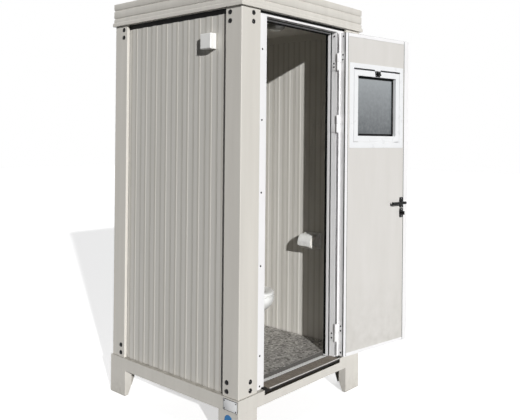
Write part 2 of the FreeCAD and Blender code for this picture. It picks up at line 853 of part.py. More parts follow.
# Narrow wall pieces that fill the corners beside the door frame
def make_front_infills():
    outer = wall_in_x + rib_depth - fit_gap
    infills = Piece("front_infills")
    for low, high in ((-outer, -frame_out), (frame_out, outer)):
        infills.add("XY_Plane", deck, ring_bottom, rect(low, high, -wall_out_y, -wall_in_y))


# Floor: a board laid on the rails inside the walls, with a vinyl covering turned down in front
def floor_outline(step):
    front = -wall_in_y + fit_gap
    trim = frame_out + trim_overlap + fit_gap
    side = wall_in_x - fit_gap
    back = wall_in_y - fit_gap
    return [
        (-side, front),
        (-trim, front),
        (-trim, step),
        (trim, step),
        (trim, front),
        (side, front),
        (side, back),
        (-side, back),
    ]


def make_floor():
    waste_x, waste_y = waste_axis()
    water_x, water_y = water_axis()
    waste_hole = waste_radius + floor_hole_play
    water_hole = water_pipe_radius + floor_hole_play
    holes = [
        ring(large_round_sides, waste_hole, waste_hole, waste_x, waste_y),
        ring(round_sides, water_hole, water_hole, water_x, water_y),
    ]
    edge = frame_back + fit_gap
    board_top = deck + floor_board
    board = Piece("floor_board")
    board.add("XY_Plane", deck, board_top, floor_outline(edge + floor_vinyl))
    board.cut("XY_Plane", deck, board_top, *holes)
    vinyl = Piece("floor_covering")
    vinyl.add("XY_Plane", board_top, floor_top, floor_outline(edge))
    trim = frame_out + trim_overlap + fit_gap
    vinyl.add("XY_Plane", deck, board_top, rect(-trim, trim, edge, edge + floor_vinyl))
    vinyl.cut("XY_Plane", board_top, floor_top, *holes)


def waste_axis():
    return pan_offset, wall_in_y - waste_from_wall


def water_axis():
    return pan_offset - water_pipe_offset, wall_in_y - cistern_depth / 2


# Roof frame: the ring on top of the walls with gussets and brackets for the posts
def make_roof_frame():
    roof = Piece("roof_frame")
    roof.add(
        "XY_Plane",
        ring_bottom,
        ceiling,
        rect(-wall_out_x, wall_out_x, -wall_out_y, wall_out_y),
    )
    roof.cut("XY_Plane", ring_bottom, ceiling, rect(-wall_in_x, wall_in_x, -wall_in_y, wall_in_y))
    out_x = post_x - post_steel
    out_y = post_y - post_steel
    gusset = [
        (out_x, out_y),
        (out_x - bracket_front_leg, out_y),
        (out_x - bracket_front_leg, wall_in_y),
        (wall_in_x, wall_in_y),
        (wall_in_x, out_y - bracket_side_leg),
        (out_x, out_y - bracket_side_leg),
    ]
    for side_x, side_y in corners.values():
        roof.add("XY_Plane", eaves - gusset_steel, eaves, mirrored_plan(gusset, side_x, side_y))
        add_bracket(roof, side_x, side_y, eaves - bracket_height, eaves)
    cut_bolt_holes(roof, bolt_levels[2:])
    notch = frame_out + frame_post_gap
    roof.cut(
        "XY_Plane",
        ring_bottom,
        ring_bottom + ring_door_notch,
        rect(-notch, notch, -wall_out_y, -wall_in_y),
    )


# Roof panel: a sandwich panel laid on the ring, ribbed on top to shed rain
def make_roof_panel():
    roof = Piece("roof_panel")
    reach_x = wall_out_x + roof_panel_overlap
    reach_y = wall_out_y + roof_panel_overlap
    top = ceiling + roof_panel_thick
    roof.add("XY_Plane", ceiling, top, rect(-reach_x, reach_x, -reach_y, reach_y))
    foot = rib_foot_width / 2
    crest = rib_top_width / 2
    first = -roof_rib_pitch * roof_ribs_each_way
    outline = [
        (first - foot, top),
        (first - crest, top + roof_rib_rise),
        (first + crest, top + roof_rib_rise),
        (first + foot, top),
    ]
    rib = roof.add("XZ_Plane", -reach_y, reach_y, outline)
    steps = 2 * roof_ribs_each_way
    roof.repeat(rib, "X_Axis", roof_rib_pitch * steps, steps + 1)


# Fascia: a folded steel section with two grooves and a drip lip, mitred round the roof
def fascia_section(face):
    """The section seen along its run: distance from the centre against height."""
    lip = face + fascia_lip_proud
    inner = face - groove_depth - fascia_steel
    back = face - fascia_flange
    lip_top = eaves + fascia_lip_height
    points = [(lip, eaves), (lip, lip_top - fascia_lip_proud), (face, lip_top)]
    for distance in (groove_from_top + groove_pitch, groove_from_top):
        middle = roof_top - distance
        points.append((face, middle - groove_width / 2))
        points.append((face - groove_depth, middle))
        points.append((face, middle + groove_width / 2))
    points += [
        (face, roof_top),
        (back, roof_top),
        (back, roof_top - fascia_steel),
        (inner, roof_top - fascia_steel),
        (inner, eaves + fascia_steel),
        (back, eaves + fascia_steel),
        (back, eaves),
    ]
    return points


def make_fascias():
    reach_x = post_x + fascia_overhang
    reach_y = post_y + fascia_overhang
    extra = fascia_lip_proud
    for name, role, side, face, run in (
        ("front", "YZ_Plane", -1, reach_y, reach_x),
        ("rear", "YZ_Plane", 1, reach_y, reach_x),
        ("left", "XZ_Plane", -1, reach_x, reach_y),
        ("right", "XZ_Plane", 1, reach_x, reach_y),
    ):
        fascia = Piece(f"fascia_{name}")
        section = [(u * side, v) for u, v in fascia_section(face)]
        end = run + extra
        fascia.add(role, -end, end, section)
        outer = face + extra
        back = face - fascia_flange
        for hand in (-1, 1):
            tip = (outer * side, end * hand)
            root = (back * side, (run - fascia_flange) * hand)
            over = (back * side, (end + extra) * hand)
            beyond = (outer * side, (end + extra) * hand)
            corner = [tip, root, over, beyond]
            if role == "YZ_Plane":
                corner = [(v, u) for u, v in corner]
            fascia.cut("XY_Plane", eaves, roof_top, corner)


# Door frame: hollow aluminium sections with a rebate for the leaf and a trim on the inside
def make_jamb(name, side):
    jamb = Piece(f"jamb_{name}")
    trim = frame_out + trim_overlap
    outline = [
        (frame_out, frame_front),
        (door_half, frame_front),
        (door_half, rebate_back),
        (stop_half, rebate_back),
        (stop_half, frame_back),
        (trim, frame_back),
        (trim, -wall_in_y),
        (frame_out, -wall_in_y),
    ]
    top = door_top + head_flange
    jamb.add("XY_Plane", deck, top, mirrored_plan(outline, side, 1))
    chambers = [
        rect(
            (door_half + frame_wall) * side,
            (frame_out - frame_wall) * side,
            frame_front + frame_wall,
            rebate_back - frame_wall,
        ),
        rect(
            (stop_half + frame_wall) * side,
            (frame_out - frame_wall) * side,
            rebate_back,
            frame_back - frame_wall,
        ),
    ]
    jamb.cut("XY_Plane", deck, top, *chambers)
    if side < 0:
        slots = bolt_slots(bolt_play * 3)
        jamb.cut("YZ_Plane", -door_half - frame_wall, -door_half, *slots)
    return jamb


def lock_line():
    """The depth of the lock's centre plane, the height of the lever and that of the key."""
    return pin_y + lock_offset, deck + lever_height, deck + lever_height - lock_spacing


def bolt_slots(play):
    """Outlines of the latch and the dead bolt seen along their travel, with some play."""
    depth, lever_level, key_level = lock_line()
    half_w = bolt_bar_width / 2 + play
    half_h = bolt_bar_height / 2 + play
    return [
        rect(depth - half_w, depth + half_w, level - half_h, level + half_h)
        for level in (lever_level, key_level)
    ]


def make_door_head():
    head = Piece("door_head")
    top = door_top + head_flange
    low = door_top - stop_height
    wall = frame_wall
    outline = [
        (frame_front, door_top),
        (rebate_back, door_top),
        (rebate_back, low),
        (frame_back, low),
        (frame_back, top),
        (frame_front, top),
    ]
    chamber = [
        (frame_front + wall, door_top + wall),
        (rebate_back + wall, door_top + wall),
        (rebate_back + wall, low + wall),
        (frame_back - wall, low + wall),
        (frame_back - wall, top - wall),
        (frame_front + wall, top - wall),
    ]
    head.add("YZ_Plane", -door_half, door_half, outline)
    head.cut("YZ_Plane", -door_half, door_half, chamber)
    for low_x, high_x in ((-door_half, -stop_half), (stop_half, door_half)):
        head.cut("XY_Plane", low, top, rect(low_x, high_x, rebate_back, frame_back))


# Sill plate and ribbed threshold strip
def make_sill():
    sill = Piece("sill_plate")
    front = -post_y
    step = frame_front - fit_gap
    narrow = door_half - fit_gap
    wide = door_half + sill_nosing_extra
    outline = [
        (-wide, front),
        (wide, front),
        (wide, step),
        (narrow, step),
        (narrow, rebate_back),
        (-narrow, rebate_back),
        (-narrow, step),
        (-wide, step),
    ]
    sill.add("XY_Plane", deck, deck + sill_top_over_deck, outline)
    sill.add("XY_Plane", deck - sill_drop, deck, rect(-wide, wide, front, front + sill_wall))


def make_threshold_strip():
    strip = Piece("threshold_strip")
    half = stop_half - fit_gap
    front = rebate_back + fit_gap / 2
    back = frame_back
    top = deck + strip_rise
    strip.add("XY_Plane", deck, top - strip_ridge, rect(-half, half, front, back))
    room = half * 2 - strip_rib_lean - strip_rib_pitch
    steps = math.floor(room.value / strip_rib_pitch.value)
    start = -half + strip_rib_pitch / 2
    end = start + strip_rib_pitch / 2
    bar = [(start, front), (end, front), (end + strip_rib_lean, back), (start + strip_rib_lean, back)]
    rib = strip.add("XY_Plane", top - strip_ridge, top, bar)
    strip.repeat(rib, "X_Axis", strip_rib_pitch * steps, steps + 1)


# Door leaf: aluminium edge sections round a sandwich panel
def make_leaf():
    inner_skin = leaf_in - stile_skin
    outer_skin = pin_y + stile_skin
    step_level = leaf_in - lock_step_depth
    stile = Piece("door_hinge_stile")
    outline = [
        (leaf_hinge_edge - hinge_flange, pin_y),
        (leaf_hinge_edge + hinge_lip, pin_y),
        (leaf_hinge_edge + hinge_lip, outer_skin),
        (leaf_hinge_edge, outer_skin),
        (leaf_hinge_edge, leaf_in),
        (leaf_hinge_edge - hinge_flange, leaf_in),
        (leaf_hinge_edge - hinge_flange, inner_skin),
        (leaf_hinge_edge - stile_web, inner_skin),
        (leaf_hinge_edge - stile_web, outer_skin),
        (leaf_hinge_edge - hinge_flange, outer_skin),
    ]
    stile.add("XY_Plane", leaf_bottom, leaf_top, outline)
    swing_with_door(stile.body)

    lock = Piece("door_lock_stile")
    lock_end = leaf_inner_lock + lock_flange
    skin = stile_skin
    outline = [
        (lock_end, pin_y),
        (leaf_lock_edge, pin_y),
        (leaf_lock_edge, step_level),
        (leaf_inner_lock, step_level),
        (leaf_inner_lock, leaf_in),
        (lock_end, leaf_in),
        (lock_end, inner_skin),
        (leaf_inner_lock + skin, inner_skin),
        (leaf_inner_lock + skin, step_level - skin),
        (leaf_lock_edge + skin, step_level - skin),
        (leaf_lock_edge + skin, outer_skin),
        (lock_end, outer_skin),
    ]
    lock.add("XY_Plane", leaf_bottom, leaf_top, outline)
    lock.cut("YZ_Plane", leaf_lock_edge, leaf_lock_edge + skin, *bolt_slots(bolt_play))
    swing_with_door(lock.body)

    rail_low = leaf_inner_lock + lock_flange
    rail_high = leaf_hinge_edge - hinge_flange
    rails = Piece("door_cross_rails")
    for edge, inward in ((leaf_top, -1), (leaf_bottom, 1)):
        flange = edge + hinge_flange * inward
        web = edge + stile_web * inward
        outline = [
            (pin_y, flange),
            (pin_y, edge),
            (leaf_in, edge),
            (leaf_in, flange),
            (inner_skin, flange),
            (inner_skin, web),
            (outer_skin, web),
            (outer_skin, flange),
        ]
        rails.add("YZ_Plane", rail_low, rail_high, outline)
    swing_with_door(rails.body)

    panel = Piece("door_panel")
    panel.add(
        "XZ_Plane",
        outer_skin,
        inner_skin,
        rect(
            leaf_inner_lock + skin,
            leaf_hinge_edge - stile_web,
            leaf_bottom + stile_web,
            leaf_top - stile_web,
        ),
        rect(*window_hole()),
    )
    depth, lever_level, key_level = lock_line()
    case_end = leaf_lock_edge + case_depth + bolt_play
    case_low, case_high = case_levels()
    panel.cut(
        "XY_Plane",
        case_low - bolt_play,
        case_high + bolt_play,
        rect(
            leaf_inner_lock + skin,
            case_end,
            depth - case_thick / 2 - bolt_play,
            depth + case_thick / 2 + bolt_play,
        ),
    )
    lock_x = leaf_lock_edge + backset
    spindle_hole = spindle_radius + 3 * bolt_play
    thumb_hole = thumb_radius + 3 * bolt_play
    panel.cut(
        "XZ_Plane",
        outer_skin,
        inner_skin,
        ring(bolt_sides, spindle_hole, spindle_hole, lock_x, lever_level),
        ring(bolt_sides, thumb_hole, thumb_hole, lock_x, key_level),
    )
    swing_with_door(panel.body)


def window_centre():
    return (leaf_inner_lock + leaf_hinge_edge) / 2


def window_hole():
    """The hole in the door panel that the window frame fills."""
    middle = window_centre()
    half = window_width / 2 - window_lap
    low = deck + window_sill_rise + window_lap
    high = deck + window_sill_rise + window_height - window_lap
    return middle - half, middle + half, low, high


def sash_pivot():
    """The depth and height of the pins that the sash tilts on."""
    sash_low = deck + window_sill_rise + window_frame_width + sash_gap
    return leaf_in - sash_pin_inset, sash_low + sash_pin_inset


def case_levels():
    depth, lever_level, key_level = lock_line()
    middle = (lever_level + key_level) / 2
    return middle - case_height / 2, middle + case_height / 2


# Window: a bottom-hung sash in a flanged frame
def make_window():
    middle = window_centre()
    low = deck + window_sill_rise
    high = low + window_height
    half = window_width / 2
    tube = window_frame_width
    frame = Piece("window_frame")
    opening = rect(middle - half + tube, middle + half - tube, low + tube, high - tube)
    frame.add(
        "XZ_Plane",
        pin_y,
        pin_y + stile_skin,
        rect(middle - half, middle + half, low, high),
        opening,
    )
    left, right, foot, head = window_hole()
    play = fit_gap / 2
    frame.add(
        "XZ_Plane",
        pin_y + stile_skin,
        leaf_in - stile_skin,
        rect(left + play, right - play, foot + play, head - play),
        opening,
    )
    frame.add(
        "XZ_Plane",
        leaf_in - stile_skin,
        leaf_in,
        rect(middle - half, middle + half, low, high),
        opening,
    )
    pin_depth, pin_level = sash_pivot()
    hole_half = half - tube
    inward = sash_pin_length
    for start in (middle - hole_half, middle + hole_half - inward):
        frame.add("YZ_Plane", start, start + inward, circle(pin_depth, pin_level, sash_pin_radius))
    swing_with_door(frame.body)

    outer_half = half - tube - sash_gap
    sash_low = low + tube + sash_gap
    sash_high = high - tube - sash_gap
    sash_front = leaf_in - sash_depth
    sash = Piece("sash_frame")
    outer = rect(middle - outer_half, middle + outer_half, sash_low, sash_high)
    clear = rect(
        middle - outer_half + sash_width,
        middle + outer_half - sash_width,
        sash_low + sash_width,
        sash_high - sash_width,
    )
    sash.add("XZ_Plane", sash_front, leaf_in, outer, clear)
    pane_low = leaf_in - glass_recess - glass_thick
    pane_high = leaf_in - glass_recess
    bite = glass_bite
    pocket = rect(
        middle - outer_half + sash_width - bite,
        middle + outer_half - sash_width + bite,
        sash_low + sash_width - bite,
        sash_high - sash_width + bite,
    )
    sash.cut("XZ_Plane", pane_low, pane_high, pocket)
    bore = circle(pin_depth, pin_level, sash_pin_radius + running_play)
    deep = inward - sash_gap + fit_gap
    for start in (middle - outer_half, middle + outer_half - deep):
        sash.cut("YZ_Plane", start, start + deep, bore)
    swing_with_door(sash.body)

    glass = Piece("window_glass")
    slack = fit_gap / 4
    glass.add(
        "XZ_Plane",
        pane_low + slack,
        pane_high - slack,
        rect(
            middle - outer_half + sash_width - bite + slack,
            middle + outer_half - sash_width + bite - slack,
            sash_low + sash_width - bite + slack,
            sash_high - sash_width + bite - slack,
        ),
    )
    swing_with_door(glass.body)

    make_window_catch(sash, middle, sash_high)


def make_window_catch(sash, middle, sash_high):
    """A plate on the sash with a wedge-shaped thumb grip whose bolt slides up to the frame."""
    top = sash_high - fit_gap
    low = top - catch_height
    head = catch_head_width / 2
    foot = catch_foot_width / 2
    stem = catch_stem_width / 2
    stem_top = top - catch_grip_top - catch_stem_height
    stem_low = stem_top - catch_stem_height
    slot = rect(
        middle - stem - slide_play,
        middle + stem + slide_play,
        stem_low - catch_travel - slide_play,
        stem_top + slide_play,
    )
    plate = Piece("window_catch")
    outline = [(middle - foot, low), (middle + foot, low), (middle + head, top), (middle - head, top)]
    plate.add("XZ_Plane", leaf_in, leaf_in + catch_plate, outline, slot)
    swing_with_door(plate.body)

    back = leaf_in - catch_bolt_thick - slide_play
    sash.cut(
        "XZ_Plane",
        back - slide_play,
        leaf_in,
        rect(
            middle - stem - slide_play,
            middle + stem + slide_play,
            stem_low - catch_travel - slide_play,
            sash_high,
        ),
    )
    near = leaf_in + catch_plate + slide_play
    grip_top = top - catch_grip_top
    grip_low = grip_top - catch_grip_height
    slider = Piece("catch_slider")
    wedge = [
        (near, grip_low),
        (near + catch_grip_tip, grip_low),
        (near + catch_grip_tip, grip_low + catch_tip_height),
        (near + catch_grip_top, grip_top),
        (near, grip_top),
    ]
    half_grip = catch_grip_width / 2
    slider.add("YZ_Plane", middle - half_grip, middle + half_grip, wedge)
    bolt_top = sash_high + catch_bolt_over
    bolt = [
        (near, stem_low),
        (near, stem_top),
        (leaf_in - slide_play, stem_top),
        (leaf_in - slide_play, bolt_top),
        (back, bolt_top),
        (back, stem_low),
    ]
    slider.add("YZ_Plane", middle - stem, middle + stem, bolt)
    swing_with_door(slider.body)


# Hinges: lift-off barrels, the lower knuckle on the jamb and the upper one on the leaf
def make_hinges():
    barrel = ring(round_sides, barrel_radius, barrel_radius, pin_x, pin_y)
    pin = circle(pin_x, pin_y, hinge_pin_radius)
    bore = circle(pin_x, pin_y, hinge_pin_radius + running_play)
    jamb_face = door_half - hinge_plate
    jamb_plate = rect(jamb_face, door_half, pin_y, pin_y + hinge_plate_reach)
    near = pin_x - pin_to_leaf
    skin = pin_y + stile_skin
    leaf_plate = [
        (near, skin),
        (pin_x - barrel_radius / 3, skin),
        (pin_x - barrel_radius / 3, skin + hinge_plate),
        (near + hinge_plate, skin + hinge_plate),
        (near + hinge_plate, pin_y + hinge_plate_short),
        (near, pin_y + hinge_plate_short),
    ]
    on_frame = Piece("hinge_frame_leaves")
    on_door = Piece("hinge_door_leaves")
    for rise in (hinge_low, hinge_middle, hinge_high):
        level = deck + rise
        low = level - barrel_half
        high = level + barrel_half
        below = level - knuckle_gap / 2
        above = level + knuckle_gap / 2
        on_frame.add("XY_Plane", low, below, barrel)
        on_frame.add("XY_Plane", low, below, jamb_plate)
        on_frame.add("XY_Plane", low, high - knuckle_gap, pin)
        on_door.add("XY_Plane", above, high, leaf_plate)
        on_door.add("XY_Plane", above, high, barrel)
        on_door.cut("XY_Plane", above, high, bore)
    swing_with_door(on_door.body)


# Lock case with its faceplate, latch, dead bolt, thumb turn, plates and levers
def make_lock():
    depth, lever_level, key_level = lock_line()
    case_low, case_high = case_levels()
    lock_x = leaf_lock_edge + backset
    inside = leaf_lock_edge + stile_skin
    case = Piece("lock_case")
    case.add(
        "XY_Plane",
        case_low,
        case_high,
        rect(inside, leaf_lock_edge + case_depth, depth - case_thick / 2, depth + case_thick / 2),
    )
    reach = backset - spindle_radius * 3
    case.cut("YZ_Plane", inside, leaf_lock_edge + reach, *bolt_slots(bolt_play))
    case.cut(
        "XZ_Plane",
        depth - case_thick / 2,
        depth + case_thick / 2,
        circle(lock_x, lever_level, spindle_radius + running_play),
        circle(lock_x, key_level, thumb_radius + running_play),
    )
    swing_with_door(case.body)

    latch_slot, bolt_slot = bolt_slots(0)
    tail = leaf_lock_edge + backset / 2
    latch = Piece("latch_bolt")
    latch.add("YZ_Plane", leaf_lock_edge - latch_nose, tail, latch_slot)
    far = depth + bolt_bar_width / 2
    latch.cut(
        "XY_Plane",
        lever_level - bolt_bar_height / 2,
        lever_level + bolt_bar_height / 2,
        [
            (leaf_lock_edge - latch_nose, far),
            (leaf_lock_edge - latch_nose, far - latch_bevel),
            (leaf_lock_edge, far),
        ],
    )
    swing_with_door(latch.body)
    bolt = Piece("dead_bolt")
    bolt.add("YZ_Plane", leaf_lock_edge, tail, bolt_slot)
    swing_with_door(bolt.body)

    covers = Piece("escutcheons")
    inner_face = leaf_in - stile_skin
    outer_face = pin_y + stile_skin
    neck_play = neck_radius + fit_gap / 2
    turn_play = thumb_radius + fit_gap / 2
    neck_hole = ring(round_sides, neck_play, neck_play, lock_x, lever_level)
    turn_hole = ring(round_sides, turn_play, turn_play, lock_x, key_level)
    for low in (inner_face, outer_face - plate_thick):
        high = low + plate_thick
        for level, height, hole in (
            (lever_level, plate_height, neck_hole),
            (key_level, rose_height, turn_hole),
        ):
            outline = plaque(lock_x, level, plate_width, height, plate_corner)
            covers.add("XZ_Plane", low, high, outline, hole)
    swing_with_door(covers.body)

    thumb = Piece("thumb_turn")
    thumb_out = inner_face + plate_thick + thumb_proud
    shaft = circle(lock_x, key_level, thumb_radius)
    thumb.add("XZ_Plane", pin_y - plate_thick, thumb_out, shaft)
    half_w = thumb_grip_width / 2
    half_h = thumb_grip_height / 2
    grip = rect(lock_x - half_w, lock_x + half_w, key_level - half_h, key_level + half_h)
    thumb.add("XZ_Plane", thumb_out, thumb_out + thumb_grip_deep, grip)
    half_w = coin_slot_width / 2
    half_h = coin_slot_height / 2
    slot = rect(lock_x - half_w, lock_x + half_w, key_level - half_h, key_level + half_h)
    thumb.cut("XZ_Plane", pin_y - plate_thick, pin_y, slot)
    swing_with_door(thumb.body)
    make_levers(lock_x, lever_level)


def make_levers(lock_x, lever_level):
    """Both levers with the spindle that joins them through the lock."""
    inner_face = leaf_in - stile_skin
    outer_face = pin_y + stile_skin
    levers = Piece("lever_handles")
    start = lock_x - neck_radius
    end = lock_x + lever_length
    for face, outward in ((inner_face, 1), (outer_face, -1)):
        grip = face + lever_standoff * outward
        low, high = (face, grip) if outward > 0 else (grip, face)
        neck = ring(round_sides, neck_radius, neck_radius, lock_x, lever_level)
        levers.add("XZ_Plane", low, high, neck)
        outline = plaque(grip, lever_level, lever_thick, lever_deep, lever_corner)
        levers.add("YZ_Plane", start, end, outline)
        back = grip - lever_bend * outward
        low, high = (back, grip) if outward > 0 else (grip, back)
        outline = plaque(end - lever_thick / 2, lever_level, lever_thick, lever_deep, lever_corner)
        levers.add("XZ_Plane", low, high, outline)
    levers.add("XZ_Plane", outer_face, inner_face, circle(lock_x, lever_level, spindle_radius))
    swing_with_door(levers.body)


def make_strike_plate():
    depth, lever_level, key_level = lock_line()
    strike = Piece("strike_plate")
    low = key_level - strike_margin
    high = lever_level + strike_margin
    strike.add(
        "YZ_Plane",
        -door_half,
        -door_half + strike_steel,
        rect(depth - case_thick / 2, depth + case_thick, low, high),
        *bolt_slots(bolt_play * 2),
    )


# Junction box on the left wall, its lid, and the lamp on the ceiling
def make_outside_box():
    middle = -(post_y - box_from_front)
    low = deck + box_rise - box_side / 2
    high = low + box_side
    half = box_side / 2
    near = -wall_out_x - box_depth
    box = Piece("junction_box")
    box.add("YZ_Plane", near, -wall_out_x, rect(middle - half, middle + half, low, high))
    room = half - box_wall
    box.cut(
        "YZ_Plane",
        near,
        -wall_out_x - box_wall,
        rect(middle - room, middle + room, low + box_wall, high - box_wall),
    )
    lid = Piece("junction_box_lid")
    lid.add("YZ_Plane", near - box_lid_depth, near, rect(middle - half, middle + half, low, high))
    lid.round_edges(box_lid_depth / 2, lambda edge: on_plane_x(edge, (near - box_lid_depth).value))


def on_plane_x(edge, x):
    return all(abs(vertex.Point.x - x) < 0.01 for vertex in edge.Vertexes)


def make_lamp():
    middle = -(post_y - lamp_from_front)
    underside = ceiling - lamp_base_height

    def disc(radius):
        return ring(large_round_sides, radius, radius, 0, middle)

    base = Piece("lamp_base")
    base.add("XY_Plane", underside, ceiling, disc(lamp_radius))
    dome = Piece("lamp_diffuser")
    bottom = underside - lamp_dome_height
    dome.add("XY_Plane", bottom, underside, disc(lamp_radius - lamp_base_lip))
    dome.bevel_edges(lamp_bevel_height, lamp_bevel_inward, at_level(bottom))


# Toilet pan: a tapered bowl block on a narrower foot, with a shelf and a spigot behind
def pan_planes():
    front = -(post_y - pan_from_front)
    return front, front + pan_length, floor_top + pan_rim_height


def bowl_middle():
    front, back, rim = pan_planes()
    return front + bowl_setback + bowl_half_length


def make_pan():
    front, back, rim = pan_planes()
    middle = (front + back) / 2
    spread = pan_length / 2 / pan_half_width
    foot_middle = back - foot_half_width * spread - foot_setback

    def oval(half_width, centre, stretch):
        return ring(large_round_sides, half_width, half_width * stretch, pan_offset, centre)

    pan = Piece("toilet_pan")
    belly = rim - belly_height
    bowl_floor = rim - bowl_depth
    bowl_spread = bowl_half_length / bowl_half_width
    pan.add("XY_Plane", belly, rim, oval(pan_half_width, middle, spread))
    pan.cut("XY_Plane", bowl_floor, rim, oval(bowl_half_width, bowl_middle(), bowl_spread))
    pan.bevel_edges(bowl_taper_height, bowl_taper_inward, at_level(bowl_floor))
    pan.bevel_edges(belly_height - pan_rim_band, belly_inward, at_level(belly))
    pan.bevel_edges(rim_crown_height, rim_crown_inward, at_level(rim))
    foot = oval(foot_half_width, foot_middle, spread)
    pan.add("XY_Plane", floor_top, belly + foot_into_belly, foot)
    plinth = oval(foot_half_width + plinth_step, foot_middle, spread)
    pan.add("XY_Plane", floor_top, floor_top + plinth_height, plinth)
    shelf_side = shelf_half_width
    shelf = rect(pan_offset - shelf_side, pan_offset + shelf_side, back - shelf_length, back)
    pan.add("XY_Plane", rim - shelf_height, rim, shelf)
    spigot_level = floor_top + spigot_height
    spigot = ring(large_round_sides, spigot_radius, spigot_radius, pan_offset, spigot_level)
    pan.add("XZ_Plane", back - shelf_length, back + spigot_length, spigot)


def make_seat():
    front, back, rim = pan_planes()
    middle = bowl_middle()
    level = rim + seat_gap
    top = level + seat_thick
    length = bowl_half_length + seat_end_band
    outer = ring(large_round_sides, pan_half_width - seat_rim_inset, length, pan_offset, middle)
    inner = ring(
        large_round_sides,
        bowl_half_width - seat_overhang,
        bowl_half_length - seat_overhang,
        pan_offset,
        middle,
    )
    seat = Piece("toilet_seat")
    seat.add("XY_Plane", level, top, outer, inner)
    pivot_y, pivot_z = seat_pivot()
    half = seat_lug / 2
    for side in (-1, 1):
        centre = pan_offset + seat_lug_offset * side
        low = centre - half
        high = centre + half
        seat.add("XY_Plane", level, top, rect(low, high, middle + length - seat_lug_root, pivot_y))
        nose = ring(round_sides, seat_thick / 2, seat_thick / 2, pivot_y, pivot_z)
        seat.add("YZ_Plane", low, high, nose)
        bore = circle(pivot_y, pivot_z, seat_pin_radius + running_play)
        seat.cut("YZ_Plane", low, high, bore)
        pad_y = middle - seat_pad_forward
        seat.add("XY_Plane", rim, level, square(centre + seat_pad_shift * side, pad_y, seat_pad))


def make_seat_hinges():
    pivot_y, pivot_z = seat_pivot()
    front, back, rim = pan_planes()
    half = seat_block / 2
    hinges = Piece("seat_hinges")
    for side in (-1, 1):
        lug_inner = pan_offset + (seat_lug_offset - seat_lug / 2 - fit_gap / 2) * side
        block_inner = lug_inner - seat_block * side
        lug_outer = lug_inner + seat_lug * side
        low, high = (block_inner, lug_inner) if side > 0 else (lug_inner, block_inner)
        outline = rect(pivot_y - half, pivot_y + half, rim, pivot_z + half)
        hinges.add("YZ_Plane", low, high, outline)
        low, high = (block_inner, lug_outer) if side > 0 else (lug_outer, block_inner)
        hinges.add("YZ_Plane", low, high, circle(pivot_y, pivot_z, seat_pin_radius))


def seat_pivot():
    front, back, rim = pan_planes()
    return back - seat_pivot_inset, rim + seat_gap + seat_thick / 2


# Waste and flush pipes: level out of the pan, a mitred bend, then upright
def bent_pipe(label, x, outline_at, bend, corner, start, end):
    pipe = Piece(label)
    corner_y, corner_z = corner
    toward_y = 1 if start.value > corner_y.value else -1
    toward_z = 1 if end.value > corner_z.value else -1
    path = [
        (start, corner_z),
        (corner_y + bend * toward_y, corner_z),
        (corner_y, corner_z + bend * toward_z),
        (corner_y, end),
    ]
    pipe.sweep("XZ_Plane", -start, outline_at(corner_z), "YZ_Plane", path)
    pipe.place(x, 0, 0)
    return pipe


def make_pipes():
    front, back, rim = pan_planes()
    waste_x, waste_y = waste_axis()
    corner = (waste_y, floor_top + spigot_height)
    start = back + spigot_length
    collar_low = waste_end_height + waste_spigot_length
    waste = bent_pipe(
        "waste_pipe",
        waste_x,
        lambda level: ring(large_round_sides, waste_radius, waste_radius, 0, level),
        waste_bend,
        corner,
        start,
        collar_low,
    )
    collar = ring(large_round_sides, waste_collar_radius, waste_collar_radius, 0, waste_y)
    waste.add("XY_Plane", collar_low, collar_low + waste_collar_height, collar)
    waste.add("XY_Plane", waste_end_height, collar_low, circle(0, waste_y, waste_radius))
    corner = (wall_in_y - cistern_depth / 2, rim - flush_entry_drop)
    start = back + fit_gap / 4
    end = floor_top + cistern_rise
    bent_pipe(
        "flush_pipe",
        pan_offset,
        lambda level: ring(round_sides, flush_pipe_radius, flush_pipe_radius, 0, level),
        flush_pipe_bend,
        corner,
        start,
        end,
    )
    water = Piece("water_pipe")
    water_x, water_y = water_axis()
    spigot_top = water_pipe_end_height + water_spigot_length
    spigot = circle(water_x, water_y, water_pipe_radius)
    riser = ring(round_sides, water_pipe_radius, water_pipe_radius, water_x, water_y)
    nut = ring(nut_sides, water_nut_radius, water_nut_radius, water_x, water_y)
    water.add("XY_Plane", water_pipe_end_height, spigot_top, spigot)
    water.add("XY_Plane", spigot_top, end, riser)
    for low in (spigot_top, end - water_nut_height):
        water.add("XY_Plane", low, low + water_nut_height, nut)


# Cistern on the rear wall with its push button
def make_cistern():
    low = floor_top + cistern_rise
    high = low + cistern_height
    half = cistern_width / 2
    front = wall_in_y - cistern_depth
    tank = Piece("cistern")
    tank.add(
        "XY_Plane",
        low,
        high,
        rect(pan_offset - half, pan_offset + half, front, wall_in_y),
    )
    edges = [(pan_offset - half, front), (pan_offset + half, front)]
    tank.round_edges(cistern_corner, upright_at(edges))
    button_y = wall_in_y - cistern_depth / 2
    well = plaque(pan_offset, button_y, button_width + fit_gap, button_length + fit_gap, button_corner)
    well_floor = high - button_sunk - button_travel_gap
    tank.cut("XY_Plane", well_floor, high, well)
    button = Piece("flush_button")
    cap = plaque(pan_offset, button_y, button_width, button_length, button_corner)
    button.add("XY_Plane", high - button_sunk, high + button_proud, cap)


# Paper holder on the right wall: back plate with two cheeks, roll and hinged cover
def holder_axis():
    middle = -(post_y - holder_from_front)
    return wall_in_x - roll_from_wall, middle, deck + holder_rise


def cover_pivot():
    axis_x, middle, level = holder_axis()
    pivot_x = wall_in_x - holder_back_thick - cover_knuckle - fit_gap
    return pivot_x, level + cover_radius + cover_skin / 2


